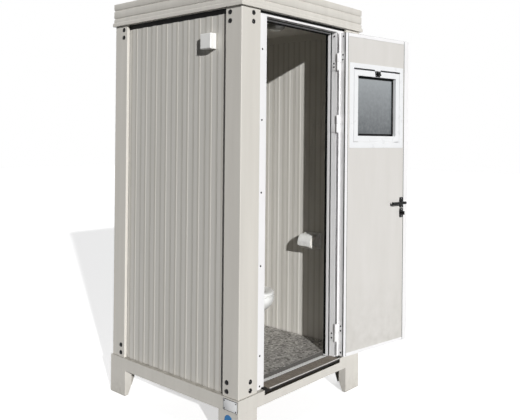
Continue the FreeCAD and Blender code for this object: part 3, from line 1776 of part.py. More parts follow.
def make_paper_holder():
    axis_x, middle, level = holder_axis()
    hinge_x, hinge_z = cover_pivot()
    top = hinge_z + cover_knuckle + cheek_margin
    half = holder_length / 2
    plate_face = wall_in_x - holder_back_thick
    holder = Piece("paper_holder")
    back = rect(middle - half, middle + half, level - holder_drop, top)
    holder.add("YZ_Plane", plate_face, wall_in_x, back)
    nose = cheek_nose
    cheek = [
        (axis_x - nose, level - nose),
        (plate_face, level - holder_drop),
        (plate_face, top),
        (hinge_x - cover_knuckle, top),
        (axis_x - nose, level + nose),
    ]
    inner = roll_length / 2 + roll_play
    outer = inner + cheek_thick
    for low, high in ((middle - outer, middle - inner), (middle + inner, middle + outer)):
        holder.add("XZ_Plane", low, high, cheek)
    spindle_size = roll_core_radius - fit_gap / 2
    spindle = ring(round_sides, spindle_size, spindle_size, axis_x, level)
    holder.add("XZ_Plane", middle - inner, middle + inner, spindle)
    stub = circle(hinge_x, hinge_z, cover_pin_radius)
    deep = cover_pin_length
    for low in (middle - inner, middle + inner - deep):
        holder.add("XZ_Plane", low, low + deep, stub)

    roll = Piece("paper_roll")
    half_roll = roll_length / 2
    sizes = (roll_radius, roll_core_radius)
    rings = [ring(large_round_sides, radius, radius, axis_x, level) for radius in sizes]
    roll.add("XZ_Plane", middle - half_roll, middle + half_roll, *rings)

    cover = Piece("paper_cover")
    reach = inner - fit_gap / 2
    cover.add("XZ_Plane", middle - reach, middle + reach, cover_outline(axis_x, level, hinge_x))
    knuckle = ring(round_sides, cover_knuckle, cover_knuckle, hinge_x, hinge_z)
    cover.add("XZ_Plane", middle - reach, middle + reach, knuckle)
    bore = circle(hinge_x, hinge_z, cover_pin_radius + running_play)
    for low in (middle - reach, middle + reach - deep):
        cover.cut("XZ_Plane", low, low + deep, bore)


def cover_outline(axis_x, level, hinge_x):
    """A curved hood: flat from its hinge, then a quarter round down in front of the roll."""
    outer = cover_radius + cover_skin
    inner = cover_radius
    steps = cover_curve_steps
    outside = [(hinge_x, level + outer)]
    inside = [(hinge_x, level + inner)]
    for step in range(steps + 1):
        angle = math.radians(90 + 90 * step / steps)
        outside.append((axis_x + outer * math.cos(angle), level + outer * math.sin(angle)))
        inside.append((axis_x + inner * math.cos(angle), level + inner * math.sin(angle)))
    outside.append((axis_x - outer, level - cover_hang))
    inside.append((axis_x - inner, level - cover_hang))
    return outside + inside[::-1]


for corner_name, signs in corners.items():
    make_leg(corner_name, *signs)
make_base_frame()
make_floor()
for corner_name, signs in corners.items():
    make_post(corner_name, *signs)
make_post_bolts()
make_side_wall("left", -1)
make_side_wall("right", 1)
make_rear_wall()
make_front_infills()
make_roof_frame()
make_roof_panel()
make_fascias()
make_jamb("left", -1)
make_jamb("right", 1)
make_door_head()
make_sill()
make_threshold_strip()
make_leaf()
make_window()
make_hinges()
make_lock()
make_strike_plate()
make_outside_box()
make_lamp()
make_pan()
make_seat()
make_seat_hinges()
make_pipes()
make_cistern()
make_paper_holder()

# Build everything, refuse a failed object, and write one file for each node
doc.recompute()
failed = [item.Name for item in doc.Objects if "Invalid" in item.State or "Error" in item.State]
if failed:
    raise RuntimeError(f"these objects failed: {failed}")
for item in nodes:
    if item.Shape.isNull() or not item.Shape.isValid() or item.Shape.Volume <= 0:
        raise RuntimeError(f"{item.Label} has no valid solid")
os.makedirs("parts", exist_ok=True)
for item in nodes:
    item.Shape.exportStep(f"parts/{item.Label}.step")
print(len(nodes), "nodes written")
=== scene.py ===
import json
import math

import bmesh
import bpy
from mathutils import Matrix, Vector


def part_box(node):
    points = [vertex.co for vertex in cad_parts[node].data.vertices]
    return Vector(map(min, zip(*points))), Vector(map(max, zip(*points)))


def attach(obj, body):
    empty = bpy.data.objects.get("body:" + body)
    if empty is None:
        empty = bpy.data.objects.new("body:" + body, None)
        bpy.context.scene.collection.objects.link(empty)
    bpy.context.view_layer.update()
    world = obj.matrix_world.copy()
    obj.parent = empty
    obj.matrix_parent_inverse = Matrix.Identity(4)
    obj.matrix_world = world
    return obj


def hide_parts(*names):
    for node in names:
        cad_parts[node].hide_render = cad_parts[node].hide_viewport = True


# A portable toilet cabin that stands outdoors in low sun, with its door swung wide open.
# The frame brings every position; this script adds the finishes and the fine pieces.
# Sizes are in millimetres, and turn to metres only where a mesh or a node takes them.
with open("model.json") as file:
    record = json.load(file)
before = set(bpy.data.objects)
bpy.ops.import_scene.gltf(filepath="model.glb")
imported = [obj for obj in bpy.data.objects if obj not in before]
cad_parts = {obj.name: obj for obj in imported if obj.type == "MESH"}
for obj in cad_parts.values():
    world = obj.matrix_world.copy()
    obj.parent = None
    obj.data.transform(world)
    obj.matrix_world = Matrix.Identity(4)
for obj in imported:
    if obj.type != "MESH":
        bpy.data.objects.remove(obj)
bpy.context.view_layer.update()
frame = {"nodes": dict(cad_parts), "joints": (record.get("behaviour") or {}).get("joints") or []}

# Legs and base frame
# Folded and welded steel, hot-dip galvanised and then painted cream with polyester paint.
# The legs take splashes near the ground, and dust settles on the ledge of the rails.
nodes = frame["nodes"]
per_metre = 1000


def linear(hex_colour):
    """Turn an sRGB hex colour into the renderer's linear light."""
    channels = []
    for start in (1, 3, 5):
        value = int(hex_colour[start:start + 2], 16) / 255
        if value <= 0.04045:
            channels.append(value / 12.92)
        else:
            channels.append(((value + 0.055) / 1.055) ** 2.4)
    return (*channels, 1.0)


def add(tree, kind, inputs=None, out=0, **settings):
    """Add one shader node with its settings and links, and return one of its outputs."""
    item = tree.nodes.new(f"ShaderNode{kind}")
    for field, value in settings.items():
        setattr(item, field, value)
    for socket, value in (inputs or {}).items():
        if isinstance(value, bpy.types.NodeSocket):
            tree.links.new(value, item.inputs[socket])
        else:
            item.inputs[socket].default_value = value
    return item.outputs[out] if item.outputs else item


def new_surface(name):
    """Start a material with an empty shader tree."""
    made = bpy.data.materials.new(name)
    made.use_nodes = True
    made.node_tree.nodes.clear()
    return made, made.node_tree


def mottle(tree, width_mm, low=0.0, high=1.0, stretch=(1, 1, 1), detail=3.0):
    """A soft random pattern whose spots have a real width, spread between two values."""
    place = add(tree, "TexCoord", out="Object")
    pulled = add(tree, "Mapping", {"Vector": place, "Scale": stretch})
    spots = {"Vector": pulled, "Scale": per_metre / width_mm, "Detail": detail}
    spread = {"Value": add(tree, "TexNoise", spots), "From Min": 0.3, "From Max": 0.7}
    return add(tree, "MapRange", {**spread, "To Min": low, "To Max": high})


def tones(tree, factor, first, second):
    """Blend two colours, each a hex value or a colour already in the tree."""
    pair = [
        item if isinstance(item, bpy.types.NodeSocket) else linear(item)
        for item in (first, second)
    ]
    return add(tree, "Mix", {0: factor, 6: pair[0], 7: pair[1]}, out=2, data_type="RGBA")


def place_along(tree, axis):
    """Where a point of the piece lies along X, Y or Z, in metres."""
    return add(tree, "SeparateXYZ", {0: add(tree, "TexCoord", out="Object")}, out=axis)


def upward(tree, low, high):
    """How far a face looks up, from 0 at one slope to 1 at another."""
    facing = add(tree, "SeparateXYZ", {0: add(tree, "NewGeometry", out="Normal")}, out="Z")
    return add(tree, "MapRange", {"Value": facing, "From Min": low, "From Max": high})


def corner_shade_and_grime(tree, reach_mm, shut, clear, most, samples=4):
    """Painted shade, and grime, darkest where a corner is shut in and thin where it is clear."""
    reach = {"Distance": reach_mm / per_metre}
    seen = add(tree, "AmbientOcclusion", reach, out="AO", samples=samples)
    spread = {"Value": seen, "From Min": shut, "From Max": clear, "To Min": most, "To Max": 0.0}
    return add(tree, "MapRange", spread)


uniform_sockets = {
    "metallic": "Metallic",
    "ior": "IOR",
    "specular": "Specular IOR Level",
    "coat": "Coat Weight",
}


def dress(tree, colour, rough, grain, depth_mm, edge_mm, **uniform):
    """Join colour, gloss, fine relief and softened edges into one finished surface.

    rough is a spot width with its two roughness values; grain is a spot width or a pattern.
    """
    if not isinstance(grain, bpy.types.NodeSocket):
        grain = mottle(tree, grain)
    edge = add(tree, "Bevel", {"Radius": edge_mm / per_metre}, samples=4)
    bump = add(tree, "Bump", {"Height": grain, "Distance": depth_mm / per_metre, "Normal": edge})
    parts = {"Base Color": colour, "Roughness": mottle(tree, *rough), "Normal": bump}
    named = {uniform_sockets[field]: value for field, value in uniform.items()}
    shader = add(tree, "BsdfPrincipled", {**parts, **named})
    add(tree, "OutputMaterial", {"Surface": shader})


def paint(material, *names):
    """Give CAD nodes a material in place of the one they carry."""
    for name in names:
        slots = nodes[name].data.materials
        slots.clear()
        slots.append(material)


# Sprayed polyester paint: satin, with soft rain streaks some 60 mm wide, an orange peel of
# about 2 mm drawn at 6 mm so that it shows, dust on ledges, and painted shade with grime
# in the corners.
painted_steel, tree = new_surface("painted_steel")
streaks = mottle(tree, 60, stretch=(1, 1, 0.08), detail=4.0)
body_colour = tones(tree, streaks, "#D5D1C9", "#DCD8D0")
ledges = upward(tree, 0.5, 0.95)
dust = add(tree, "Math", {0: ledges, 1: mottle(tree, 40, 0.35, 0.8)}, operation="MULTIPLY")
dusty = tones(tree, dust, body_colour, "#8D887D")
splash_reach = {"From Min": 0.0, "From Max": 0.12, "To Min": 0.4, "To Max": 0.0}
low_down = add(tree, "MapRange", {"Value": place_along(tree, "Z"), **splash_reach})
splash = add(tree, "Math", {0: low_down, 1: mottle(tree, 25)}, operation="MULTIPLY")
worn = tones(tree, splash, dusty, "#A39D90")
# Painted shade with grime darkens the corners.
shaded_and_grimy = tones(tree, corner_shade_and_grime(tree, 12, shut=0.25, clear=0.75, most=0.75), worn, "#5A564F")
dress(tree, shaded_and_grimy, rough=(90, 0.34, 0.46), grain=6, depth_mm=0.06, edge_mm=2.0, ior=1.5)
paint(painted_steel, "leg_front_left", "leg_front_right", "leg_rear_left", "leg_rear_right")
paint(painted_steel, "base_frame")

# Bare nameplate and marker disc
# A thin anodised plate is riveted over a black gasket to the left end of the base, and a
# plain blue disc is stuck on below it.
scene = bpy.context.scene
leaf_bodies = ("door", "levers", "latch", "turn", "bolt", "sash", "catch")
door_hinge = next(item for item in frame["joints"] if item["name"] == "door_hinge")
hinge_pin = Vector((door_hinge["pos_m"][0], door_hinge["pos_m"][1], 0))
open_turn = Matrix.Rotation(math.radians(-door_hinge["range_deg"][0]), 4, "Z")
swing = Matrix.Translation(hinge_pin) @ open_turn @ Matrix.Translation(-hinge_pin)
crease = math.radians(34)


def make_piece(name, mesh, material, body="cabin", stands_for=()):
    """Turn a mesh drawn in millimetres, with the door shut, into a piece that rides a body."""
    bmesh.ops.recalc_face_normals(mesh, faces=mesh.faces)
    mesh.transform(Matrix.Scale(1 / per_metre, 4))
    if body in leaf_bodies:
        mesh.transform(swing)
    data = bpy.data.meshes.new(name)
    mesh.to_mesh(data)
    mesh.free()
    data.materials.append(material)
    for face in data.polygons:
        face.use_smooth = True
    data.set_sharp_from_angle(angle=crease)
    item = bpy.data.objects.new(name, data)
    scene.collection.objects.link(item)
    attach(item, body)
    if stands_for:
        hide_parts(*stands_for)


def join_rings(mesh, low, high):
    """Join two rings of the same count, or a ring and a single point, with faces."""
    count = max(len(low), len(high))
    for step in range(count):
        after = (step + 1) % count
        around = [low[step % len(low)], low[after % len(low)]]
        around += [high[after % len(high)], high[step % len(high)]]
        mesh.faces.new(list(dict.fromkeys(around)))


def turned(mesh, profile, centre, axis, steps=28, hollow=False):
    """Turn a profile of (radius, height) pairs about an axis, as on a lathe."""
    lean = Vector((0, 0, 1)).rotation_difference(Vector(axis)).to_matrix()
    rings = []
    for radius, height in profile:
        ring = []
        for step in range(steps if radius > 0 else 1):
            angle = math.tau * step / steps
            spot = Vector((radius * math.cos(angle), radius * math.sin(angle), height))
            ring.append(mesh.verts.new(Vector(centre) + lean @ spot))
        rings.append(ring)
    if hollow:
        rings.append(rings[0])
    for low, high in zip(rings, rings[1:]):
        join_rings(mesh, low, high)


def prism(mesh, outline, axis, low, high):
    """Push a closed outline along X, Y or Z between two places."""
    order = {"X": (2, 0, 1), "Y": (0, 2, 1), "Z": (0, 1, 2)}[axis]
    rings = []
    for level in (low, high):
        spots = [(u, v, level) for u, v in outline]
        rings.append([mesh.verts.new([spot[part] for part in order]) for spot in spots])
    join_rings(mesh, *rings)
    for ring in rings:
        mesh.faces.new(ring)
    return rings


def block(mesh, low, high, rounding, steps=3):
    """A solid block between two corners with every edge rounded over."""
    outline = [(low[0], low[1]), (high[0], low[1]), (high[0], high[1]), (low[0], high[1])]
    rings = prism(mesh, outline, "Z", low[2], high[2])
    corners = set(rings[0] + rings[1])
    edges = [edge for edge in mesh.edges if set(edge.verts) <= corners]
    bmesh.ops.bevel(mesh, geom=edges, offset=rounding, segments=steps, profile=0.5, affect="EDGES")


# Matt anodised aluminium: pale and even, since the oxide layer hides the metal's mirror,
# with a blasted grain of 1 mm drawn at 3 mm.
anodised_plate, tree = new_surface("anodised_plate")
plate_tone = tones(tree, mottle(tree, 30), "#ECEDEE", "#F6F6F6")
dress(tree, plate_tone, rough=(12, 0.45, 0.55), grain=3, depth_mm=0.05, edge_mm=0.8)

# Vinyl film in a strong blue: satin, and a little faded by the sun.
blue_vinyl, tree = new_surface("blue_vinyl")
blue_tone = tones(tree, mottle(tree, 14), "#0B6AA8", "#1579B8")
dress(tree, blue_tone, rough=(9, 0.3, 0.42), grain=4, depth_mm=0.04, edge_mm=0.6)

# Black lacquer over blackened steel: deep gloss that mirrors the sky, duller in spots.
bolt_lacquer, tree = new_surface("black_lacquered_steel")
black_tone = tones(tree, mottle(tree, 8), "#030304", "#0B0B0D")
dress(tree, black_tone, rough=(7, 0.16, 0.28), grain=5, depth_mm=0.03, edge_mm=0.4, specular=0.22)

side_face = -600
plate_thick = 2.2
plate_y = (-580, -476)
plate_z = (176, 234)
mesh = bmesh.new()
plate_face = side_face - plate_thick
low = (plate_face, plate_y[0], plate_z[0])
high = (side_face, plate_y[1], plate_z[1])
block(mesh, low, high, rounding=0.9, steps=2)
make_piece("bare_nameplate", mesh, anodised_plate)

rivet_inset = 7
rivet_profile = [(0, 0), (4.2, 0), (4.2, 0.7), (3, 1.9), (0, 2.4)]
gasket_rim = 3
gasket_proud = 0.9
gasket_sunk = 0.3
mesh = bmesh.new()
for rivet_y in (plate_y[0] + rivet_inset, plate_y[1] - rivet_inset):
    for rivet_z in (plate_z[0] + rivet_inset, plate_z[1] - rivet_inset):
        turned(mesh, rivet_profile, (plate_face, rivet_y, rivet_z), (-1, 0, 0), steps=16)
low = (side_face - gasket_proud, plate_y[0] - gasket_rim, plate_z[0] - gasket_rim)
high = (side_face + gasket_sunk, plate_y[1] + gasket_rim, plate_z[1] + gasket_rim)
block(mesh, low, high, rounding=0.3, steps=1)
make_piece("nameplate_rivets_and_gasket", mesh, bolt_lacquer)

disc_centre = (side_face, -514, 120)
disc_profile = [(0, 0), (30, 0), (30, 0.8), (29.2, 1.6), (0, 1.6)]
mesh = bmesh.new()
turned(mesh, disc_profile, disc_centre, (-1, 0, 0), steps=40)
make_piece("marker_disc", mesh, blue_vinyl)

# Floor board and covering
# A film-faced plywood board with a sheet of speckled grey vinyl glued on it.
# The vinyl is turned down over the front edge of the board, and that face is painted dark as
# the shade in the gap in front of it.

# Birch plywood with plies of 1.4 mm drawn at 4.5 mm, sealed with brown film on the faces.
floor_wood, tree = new_surface("birch_plywood")
ply_mm = 4.488
plies = {0: place_along(tree, "Z"), 1: math.tau * per_metre / ply_mm}
plies = add(tree, "Math", plies, operation="MULTIPLY")
plies = add(tree, "Math", {0: plies}, operation="SINE")
plies = add(tree, "MapRange", {"Value": plies, "From Min": -1.0, "From Max": 1.0})
wood_grain = mottle(tree, 9, stretch=(1, 0.1, 1), detail=5.0)
wood = tones(tree, plies, tones(tree, wood_grain, "#8A6B47", "#A98558"), "#6E5336")
dress(tree, wood, rough=(20, 0.6, 0.75), grain=wood_grain, depth_mm=0.2, edge_mm=1.0)
paint(floor_wood, "floor_board")

# Safety vinyl: matt grey with chips of 3 to 5 mm, drawn at 13 mm to show, and a fine grit.
floor_vinyl, tree = new_surface("speckled_safety_vinyl")
chip_mm = 13
place = add(tree, "TexCoord", out="Object")
flakes = {"Vector": place, "Scale": per_metre / chip_mm, "Randomness": 1.0}
chips = add(tree, "SeparateColor", {0: add(tree, "TexVoronoi", flakes, out="Color")}, out="Red")
bright = add(tree, "MapRange", {"Value": chips, "From Min": 0.55, "From Max": 1.0})
dark = add(tree, "MapRange", {"Value": chips, "From Min": 0.3, "From Max": 0.0})
ground_tone = tones(tree, mottle(tree, 260, detail=5.0), "#8A8782", "#979490")
speckled = tones(tree, dark, tones(tree, bright, ground_tone, "#C6C3BE"), "#4E4B48")
# The turned-down front face is painted dark as shade.
facing = add(tree, "SeparateXYZ", {0: add(tree, "NewGeometry", out="Normal")}, out="Y")
turned_down_shade = add(tree, "MapRange", {"Value": facing, "From Min": -0.3, "From Max": -0.8})
shade_edged = tones(tree, turned_down_shade, speckled, "#4C4A47")
dress(tree, shade_edged, rough=(50, 0.5, 0.65), grain=5, depth_mm=0.15, edge_mm=1.5, ior=1.52)
paint(floor_vinyl, "floor_covering")

# Sill and threshold
# A pressed steel sill, coated near black as painted shade under the tread's nosing, takes
# a ribbed rubber tread with an aluminium nosing, and a ribbed aluminium strip is screwed down
# where the floor covering ends.

# Polyester coating drawn near black, as painted shade in the gap under the tread's nosing:
# dull, with dust rubbed into it by feet.
sill_shade_coat, tree = new_surface("near_black_coated_steel_shade")
scuffed_shade_tone = tones(tree, mottle(tree, 45, stretch=(0.3, 1, 1), detail=5.0), "#0D0C0B", "#1F1D1B")
dress(tree, scuffed_shade_tone, rough=(30, 0.5, 0.7), grain=5, depth_mm=0.1, edge_mm=1.5, specular=0.2)
paint(sill_shade_coat, "sill_plate")

# Ribbed brown-grey rubber: matt, and dusty on the crowns of its ribs.
tread_rubber, tree = new_surface("ribbed_tread_rubber")
crowns = upward(tree, 0.75, 1.0)
crown_dust = add(tree, "Math", {0: crowns, 1: mottle(tree, 35, 0.3, 0.9)}, operation="MULTIPLY")
rubber_tone = tones(tree, crown_dust, "#6C645B", "#B1A99E")
dress(tree, rubber_tone, rough=(20, 0.6, 0.75), grain=4, depth_mm=0.1, edge_mm=0.6, specular=0.2)

tread_half = 351
tread_front = -604
tread_back = -520
tread_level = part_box("sill_plate")[1].z * per_metre
overhang_from = -582.6
overhang_drop = 4
rib_pitch = 6.5
rib_height = 2.2
rib_shape = ((0.8, 0.8), (1.8, rib_height), (3.8, rib_height), (4.8, 0.8))
outline = [(tread_back, tread_level), (overhang_from, tread_level)]
overhang_foot = tread_level - overhang_drop
outline += [(overhang_from, overhang_foot), (tread_front, overhang_foot)]
outline.append((tread_front, tread_level))
for rib in range(int((tread_back - tread_front) / rib_pitch)):
    start = tread_front + rib * rib_pitch
    outline += [(start + along, tread_level + rise) for along, rise in rib_shape]
mesh = bmesh.new()
prism(mesh, outline, "X", -tread_half, tread_half)
make_piece("sill_tread", mesh, tread_rubber)

# Brushed and anodised aluminium: a soft shine, since a thick and dusty oxide layer hides
# most of the metal, with fine scratches along the strip drawn 4 mm wide. The lands of its
# ribs are bright, and the grooves between them are painted dark as shade and dirt.
threshold_metal, tree = new_surface("brushed_anodised_aluminium")
brushed = mottle(tree, 4, stretch=(0.05, 1, 1), detail=4.0)
groove_to_land = {"From Min": 0.2534, "From Max": 0.2546}
on_land = add(tree, "MapRange", {"Value": place_along(tree, "Z"), **groove_to_land})
# The grooves are painted dark as shade and dirt.
ribbed_with_groove_shade = tones(tree, on_land, "#6E6B66", "#FCFBF9")
walked = tones(tree, mottle(tree, 40, 0.0, 0.08), ribbed_with_groove_shade, "#B9B7B2")
dress(
    tree, walked, rough=(25, 0.42, 0.58), grain=brushed, depth_mm=0.04, edge_mm=0.8, metallic=0.15
)

strip_half = 338
strip_front = -516.5
strip_back = -482
strip_foot = 245
groove_level = 253.2
land_foot = 252.6
land_level = 255
land_margin = 1.5
land_front = strip_front + land_margin
land_back = strip_back - land_margin
rib_step = 26
rib_land = 18
rib_lean = 20
ribs_each_way = 12
mesh = bmesh.new()
low = (-strip_half, strip_front, strip_foot)
high = (strip_half, strip_back, groove_level)
block(mesh, low, high, rounding=0.8, steps=2)
for rib in range(-ribs_each_way, ribs_each_way + 1):
    start = rib * rib_step
    end = start + rib_land
    land = [(start, land_front), (end, land_front)]
    land += [(end - rib_lean, land_back), (start - rib_lean, land_back)]
    prism(mesh, land, "Z", land_foot, land_level)
make_piece(
    "threshold_ribbed", mesh, threshold_metal, stands_for=["threshold_strip"]
)

nosing = [(-604, 250.5), (-605.4, 251), (-606, 254.4), (-604.6, 255.6)]
nosing += [(-600, 255.6), (-600, 254.6), (-604, 253.6)]
mesh = bmesh.new()
prism(mesh, nosing, "X", -tread_half, tread_half)
make_piece("sill_nosing", mesh, threshold_metal)

# Corner posts
# Pressed from 3 mm galvanised sheet, painted like the base and bolted to the brackets
# of the base frame and the roof frame.
paint(painted_steel, "post_front_left", "post_front_right", "post_rear_left", "post_rear_right")

# Post bolts
# Coach bolts of 8 mm with domed heads on a broad rim, blackened and lacquered, in pairs at
# the head and foot of every face of every post.
post_x = 592
post_y = 582
bolt_levels = (274, 324, 2361, 2411)
front_bolt_x = 495
side_bolt_y = 492
shank = [(0, -14), (4, -14), (4, 0)]
head = [(14, 0), (14, 1.3), (13.2, 2), (12.4, 2.4), (11.6, 3.8)]
head += [(9.6, 5.4), (6.4, 6.5), (3, 6.95), (0, 7)]
mesh = bmesh.new()
for level in bolt_levels:
    for side in (-1, 1):
        for end in (-1, 1):
            turned(mesh, shank + head, (post_x * side, side_bolt_y * end, level), (side, 0, 0))
            turned(mesh, shank + head, (front_bolt_x * side, post_y * end, level), (0, end, 0))
make_piece("post_bolt_heads", mesh, bolt_lacquer, stands_for=["post_bolts"])

# Walls
# Sandwich panels: two steel skins with a coil coating on a foam core, with shallow ribs
# rolled upright into both skins. Narrow infills close the corners beside the door frame.

# Coil-coated steel: satin, even, with the faint upright lines of the rolling mill, about
# 25 mm apart and drawn at 50 mm, and water marks that run down.
wall_coat, tree = new_surface("coil_coated_steel")
line_gap_mm = 50
across = add(tree, "Math", {0: place_along(tree, "X"), 1: place_along(tree, "Y")}, operation="ADD")
lines = {0: across, 1: math.tau * per_metre / line_gap_mm}
lines = add(tree, "Math", lines, operation="MULTIPLY")
lines = add(tree, "Math", {0: lines}, operation="SINE")
lines = add(tree, "MapRange", {"Value": lines, "From Min": 0.2, "From Max": 1.0})
line_share = add(tree, "Math", {0: lines, 1: 0.5}, operation="MULTIPLY")
sheet = tones(tree, mottle(tree, 70, stretch=(1, 1, 0.06), detail=4.0), "#D2CFC8", "#DAD7D1")
lined = tones(tree, line_share, sheet, "#B3AFA4")
# Painted shade with grime darkens the corners of the panels.
shaded_and_grimy = tones(tree, corner_shade_and_grime(tree, 20, shut=0.3, clear=0.8, most=0.6), lined, "#6E6A63")
rolled = add(tree, "Math", {0: lines, 1: mottle(tree, 6, 0, 0.2)}, operation="ADD")
dress(tree, shaded_and_grimy, rough=(80, 0.4, 0.52), grain=rolled, depth_mm=0.12, edge_mm=1.5, specular=0.22)
paint(wall_coat, "wall_panel_left", "wall_panel_right", "wall_panel_rear", "front_infills")

# Corner shade beads
# A bead of black rubber, pressed in after the panels stand, lines the joint between each
# front post and its side wall, and darkens the post's shadow there as painted shade.

# Extruded rubber: matt black with a grey bloom.
black_rubber, tree = new_surface("epdm_rubber")
bloom = tones(tree, mottle(tree, 25), "#030303", "#0C0C0D")
dress(tree, bloom, rough=(15, 0.6, 0.8), grain=4, depth_mm=0.06, edge_mm=0.6, specular=0.1)

wall_face = 572
post_rear_edge = -456
bead_width = 9
bead_rise = 6
bead_foot = 246
bead_top = 2438
bead_steps = 8
mesh = bmesh.new()
for side in (-1, 1):
    outline = [((wall_face - 1) * side, post_rear_edge)]
    for step in range(bead_steps + 1):
        angle = math.pi * step / bead_steps
        reach = wall_face + bead_rise * math.sin(angle)
        outline.append((reach * side, post_rear_edge + bead_width / 2 * (1 - math.cos(angle))))
    outline.append(((wall_face - 1) * side, post_rear_edge + bead_width))
    prism(mesh, outline, "Z", bead_foot, bead_top)
make_piece("corner_shade_beads", mesh, black_rubber)

# Roof frame
# A welded ring of folded steel on top of the walls. Its outer face, under the fascia, is
# painted black as the shade in the recess there, and the faces that look into the room
# are cream.

# Painted shade: black, dull and slightly wavy on the outer faces; the room side keeps the
# cream of the walls.
painted_shade_strip_coat, tree = new_surface("black_painted_shade_strip")
room_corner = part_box("floor_covering")[1]
room_skin = 0.0015
inside = []
for axis, limit in (("X", room_corner.x + room_skin), ("Y", room_corner.y + room_skin)):
    reach = add(tree, "Math", {0: place_along(tree, axis)}, operation="ABSOLUTE")
    inside.append(add(tree, "Math", {0: reach, 1: limit}, operation="LESS_THAN"))
in_room = add(tree, "Math", {0: inside[0], 1: inside[1]}, operation="MULTIPLY")
shade_strip_tone = tones(tree, in_room, tones(tree, mottle(tree, 30), "#040404", "#0D0D0C"), "#D6D3CC")
dress(tree, shade_strip_tone, rough=(20, 0.5, 0.65), grain=5, depth_mm=0.1, edge_mm=1.5, specular=0.15)
paint(painted_shade_strip_coat, "roof_frame")

# Roof panel
# A sandwich panel like those of the walls but thicker, laid on the ring inside the
# fascia. Its top skin is ribbed to stiffen it and to shed the rain.

# The same coil coating, weathered: chalky, with washed-out patches and dirt that leaves and
# puddles have left on the flat of it.
roof_coat, tree = new_surface("coil_coated_roof_steel")
washed = tones(tree, mottle(tree, 120, detail=5.0), "#C9C6BF", "#D8D5CE")
flats = upward(tree, 0.7, 1.0)
puddles = mottle(tree, 180, 0.0, 0.55, detail=6.0)
leaf_dirt = add(tree, "Math", {0: flats, 1: puddles}, operation="MULTIPLY")
weathered = tones(tree, leaf_dirt, washed, "#8F8B80")
dress(tree, weathered, rough=(60, 0.42, 0.58), grain=6, depth_mm=0.08, edge_mm=2.0)
paint(roof_coat, "roof_panel")

# Fascia
# Four folded steel sections mitred round the roof, each with a drip lip at its foot and
# two pressed grooves, screwed to the roof frame from below and painted cream.
eaves = 2440
roof_top = 2590
fascia_face = {"X": 601, "Y": 591}
groove_levels = (2492, 2546)
groove_shape = ((-7, 0), (-4.5, -1.6), (-2.2, -4.2), (0, -5), (2.2, -4.2), (4.5, -1.6), (7, 0))
fascia_profile = [(6, eaves), (6, eaves + 18), (4.6, eaves + 21.5), (0, eaves + 26)]
for groove_middle in groove_levels:
    fascia_profile += [(deep, groove_middle + rise) for rise, deep in groove_shape]
fascia_profile += [(0, roof_top - 3), (-1, roof_top - 0.9), (-3, roof_top), (-28, roof_top)]
fascia_profile += [(-28, roof_top - 3), (-8, roof_top - 3), (-8, eaves + 3)]
fascia_profile += [(-28, eaves + 3), (-28, eaves)]
fascia_sides = (("front", "Y", -1), ("rear", "Y", 1), ("left", "X", -1), ("right", "X", 1))
for name, axis, side in fascia_sides:
    other = "X" if axis == "Y" else "Y"
    mesh = bmesh.new()
    rings = []
    for hand in (-1, 1):
        ring = []
        for out, level in fascia_profile:
            face = (fascia_face[axis] + out) * side
            run = (fascia_face[other] + out) * hand
            spot = (run, face, level) if axis == "Y" else (face, run, level)
            ring.append(mesh.verts.new(spot))
        rings.append(ring)
        mesh.faces.new(ring)
    join_rings(mesh, *rings)
    plain = f"fascia_{name}"
    make_piece(f"{plain}_pressed", mesh, painted_steel, stands_for=[plain])

# Door frame
# Hollow aluminium jambs and head, mitred, powder-coated white and screwed to the posts,
# with a rubber seal in the rebate and a pressed strike plate.

# Powder coat: neutral white, satin, with a fine texture of about 1 mm drawn at 4 mm.
powder_white, tree = new_surface("white_powder_coat")
coat_tone = tones(tree, mottle(tree, 150, stretch=(1, 1, 0.3)), "#EFEEEE", "#F8F7F8")
# Painted shade with grime darkens the corners of the frame.
corner_shade_and_dirt = corner_shade_and_grime(tree, 8, shut=0.2, clear=0.7, most=0.7, samples=8)
shaded_and_grimy = tones(tree, corner_shade_and_dirt, coat_tone, "#6B6964")
dress(tree, shaded_and_grimy, rough=(70, 0.3, 0.42), grain=4, depth_mm=0.05, edge_mm=1.2)
paint(powder_white, "jamb_left", "jamb_right", "door_head")

# Zinc-plated steel with a blue passivation: a cool bright metal with soft spangle.
zinc_plate, tree = new_surface("zinc_plated_steel")
spangle = tones(tree, mottle(tree, 10), "#ADB0B3", "#C9CBCC")
dress(tree, spangle, rough=(14, 0.28, 0.42), grain=4, depth_mm=0.03, edge_mm=0.5, metallic=1.0)
paint(zinc_plate, "strike_plate")


def tube(mesh, path, section, up, loop=False):
    """Carry a closed section of (sideways, up) pairs along a flat path with mitred corners."""
    rings = []
    last = len(path) - 1
    for place, spot in enumerate(path):
        spot = Vector(spot)
        before = spot - Vector(path[place - 1]) if loop or place > 0 else None
        after = Vector(path[(place + 1) % len(path)]) - spot if loop or place < last else None
        sides = [Vector(up).cross(run.normalized()) for run in (before, after) if run is not None]
        middle = sum(sides, Vector()).normalized()
        stretch = 1 / middle.dot(sides[0])
        ring = [spot + middle * (u * stretch) + Vector(up) * v for u, v in section]
        rings.append([mesh.verts.new(corner) for corner in ring])
    pairs = list(zip(rings, rings[1:]))
    if loop:
        pairs.append((rings[-1], rings[0]))
    for low, high in pairs:
        join_rings(mesh, low, high)
    if not loop:
        mesh.faces.new(rings[0])
        mesh.faces.new(rings[-1])


def oval(half_u, half_v, steps=16, square=2.0, lift=0.0):
    """A closed section from a circle towards a rounded rectangle as `square` grows."""
    points = []
    fat = 2 / square
    for step in range(steps):
        angle = math.tau * (step + 0.5) / steps
        u, v = math.cos(angle), math.sin(angle)
        rise = half_v * math.copysign(abs(v) ** fat, v)
        points.append((half_u * math.copysign(abs(u) ** fat, u), rise + lift))
    return points


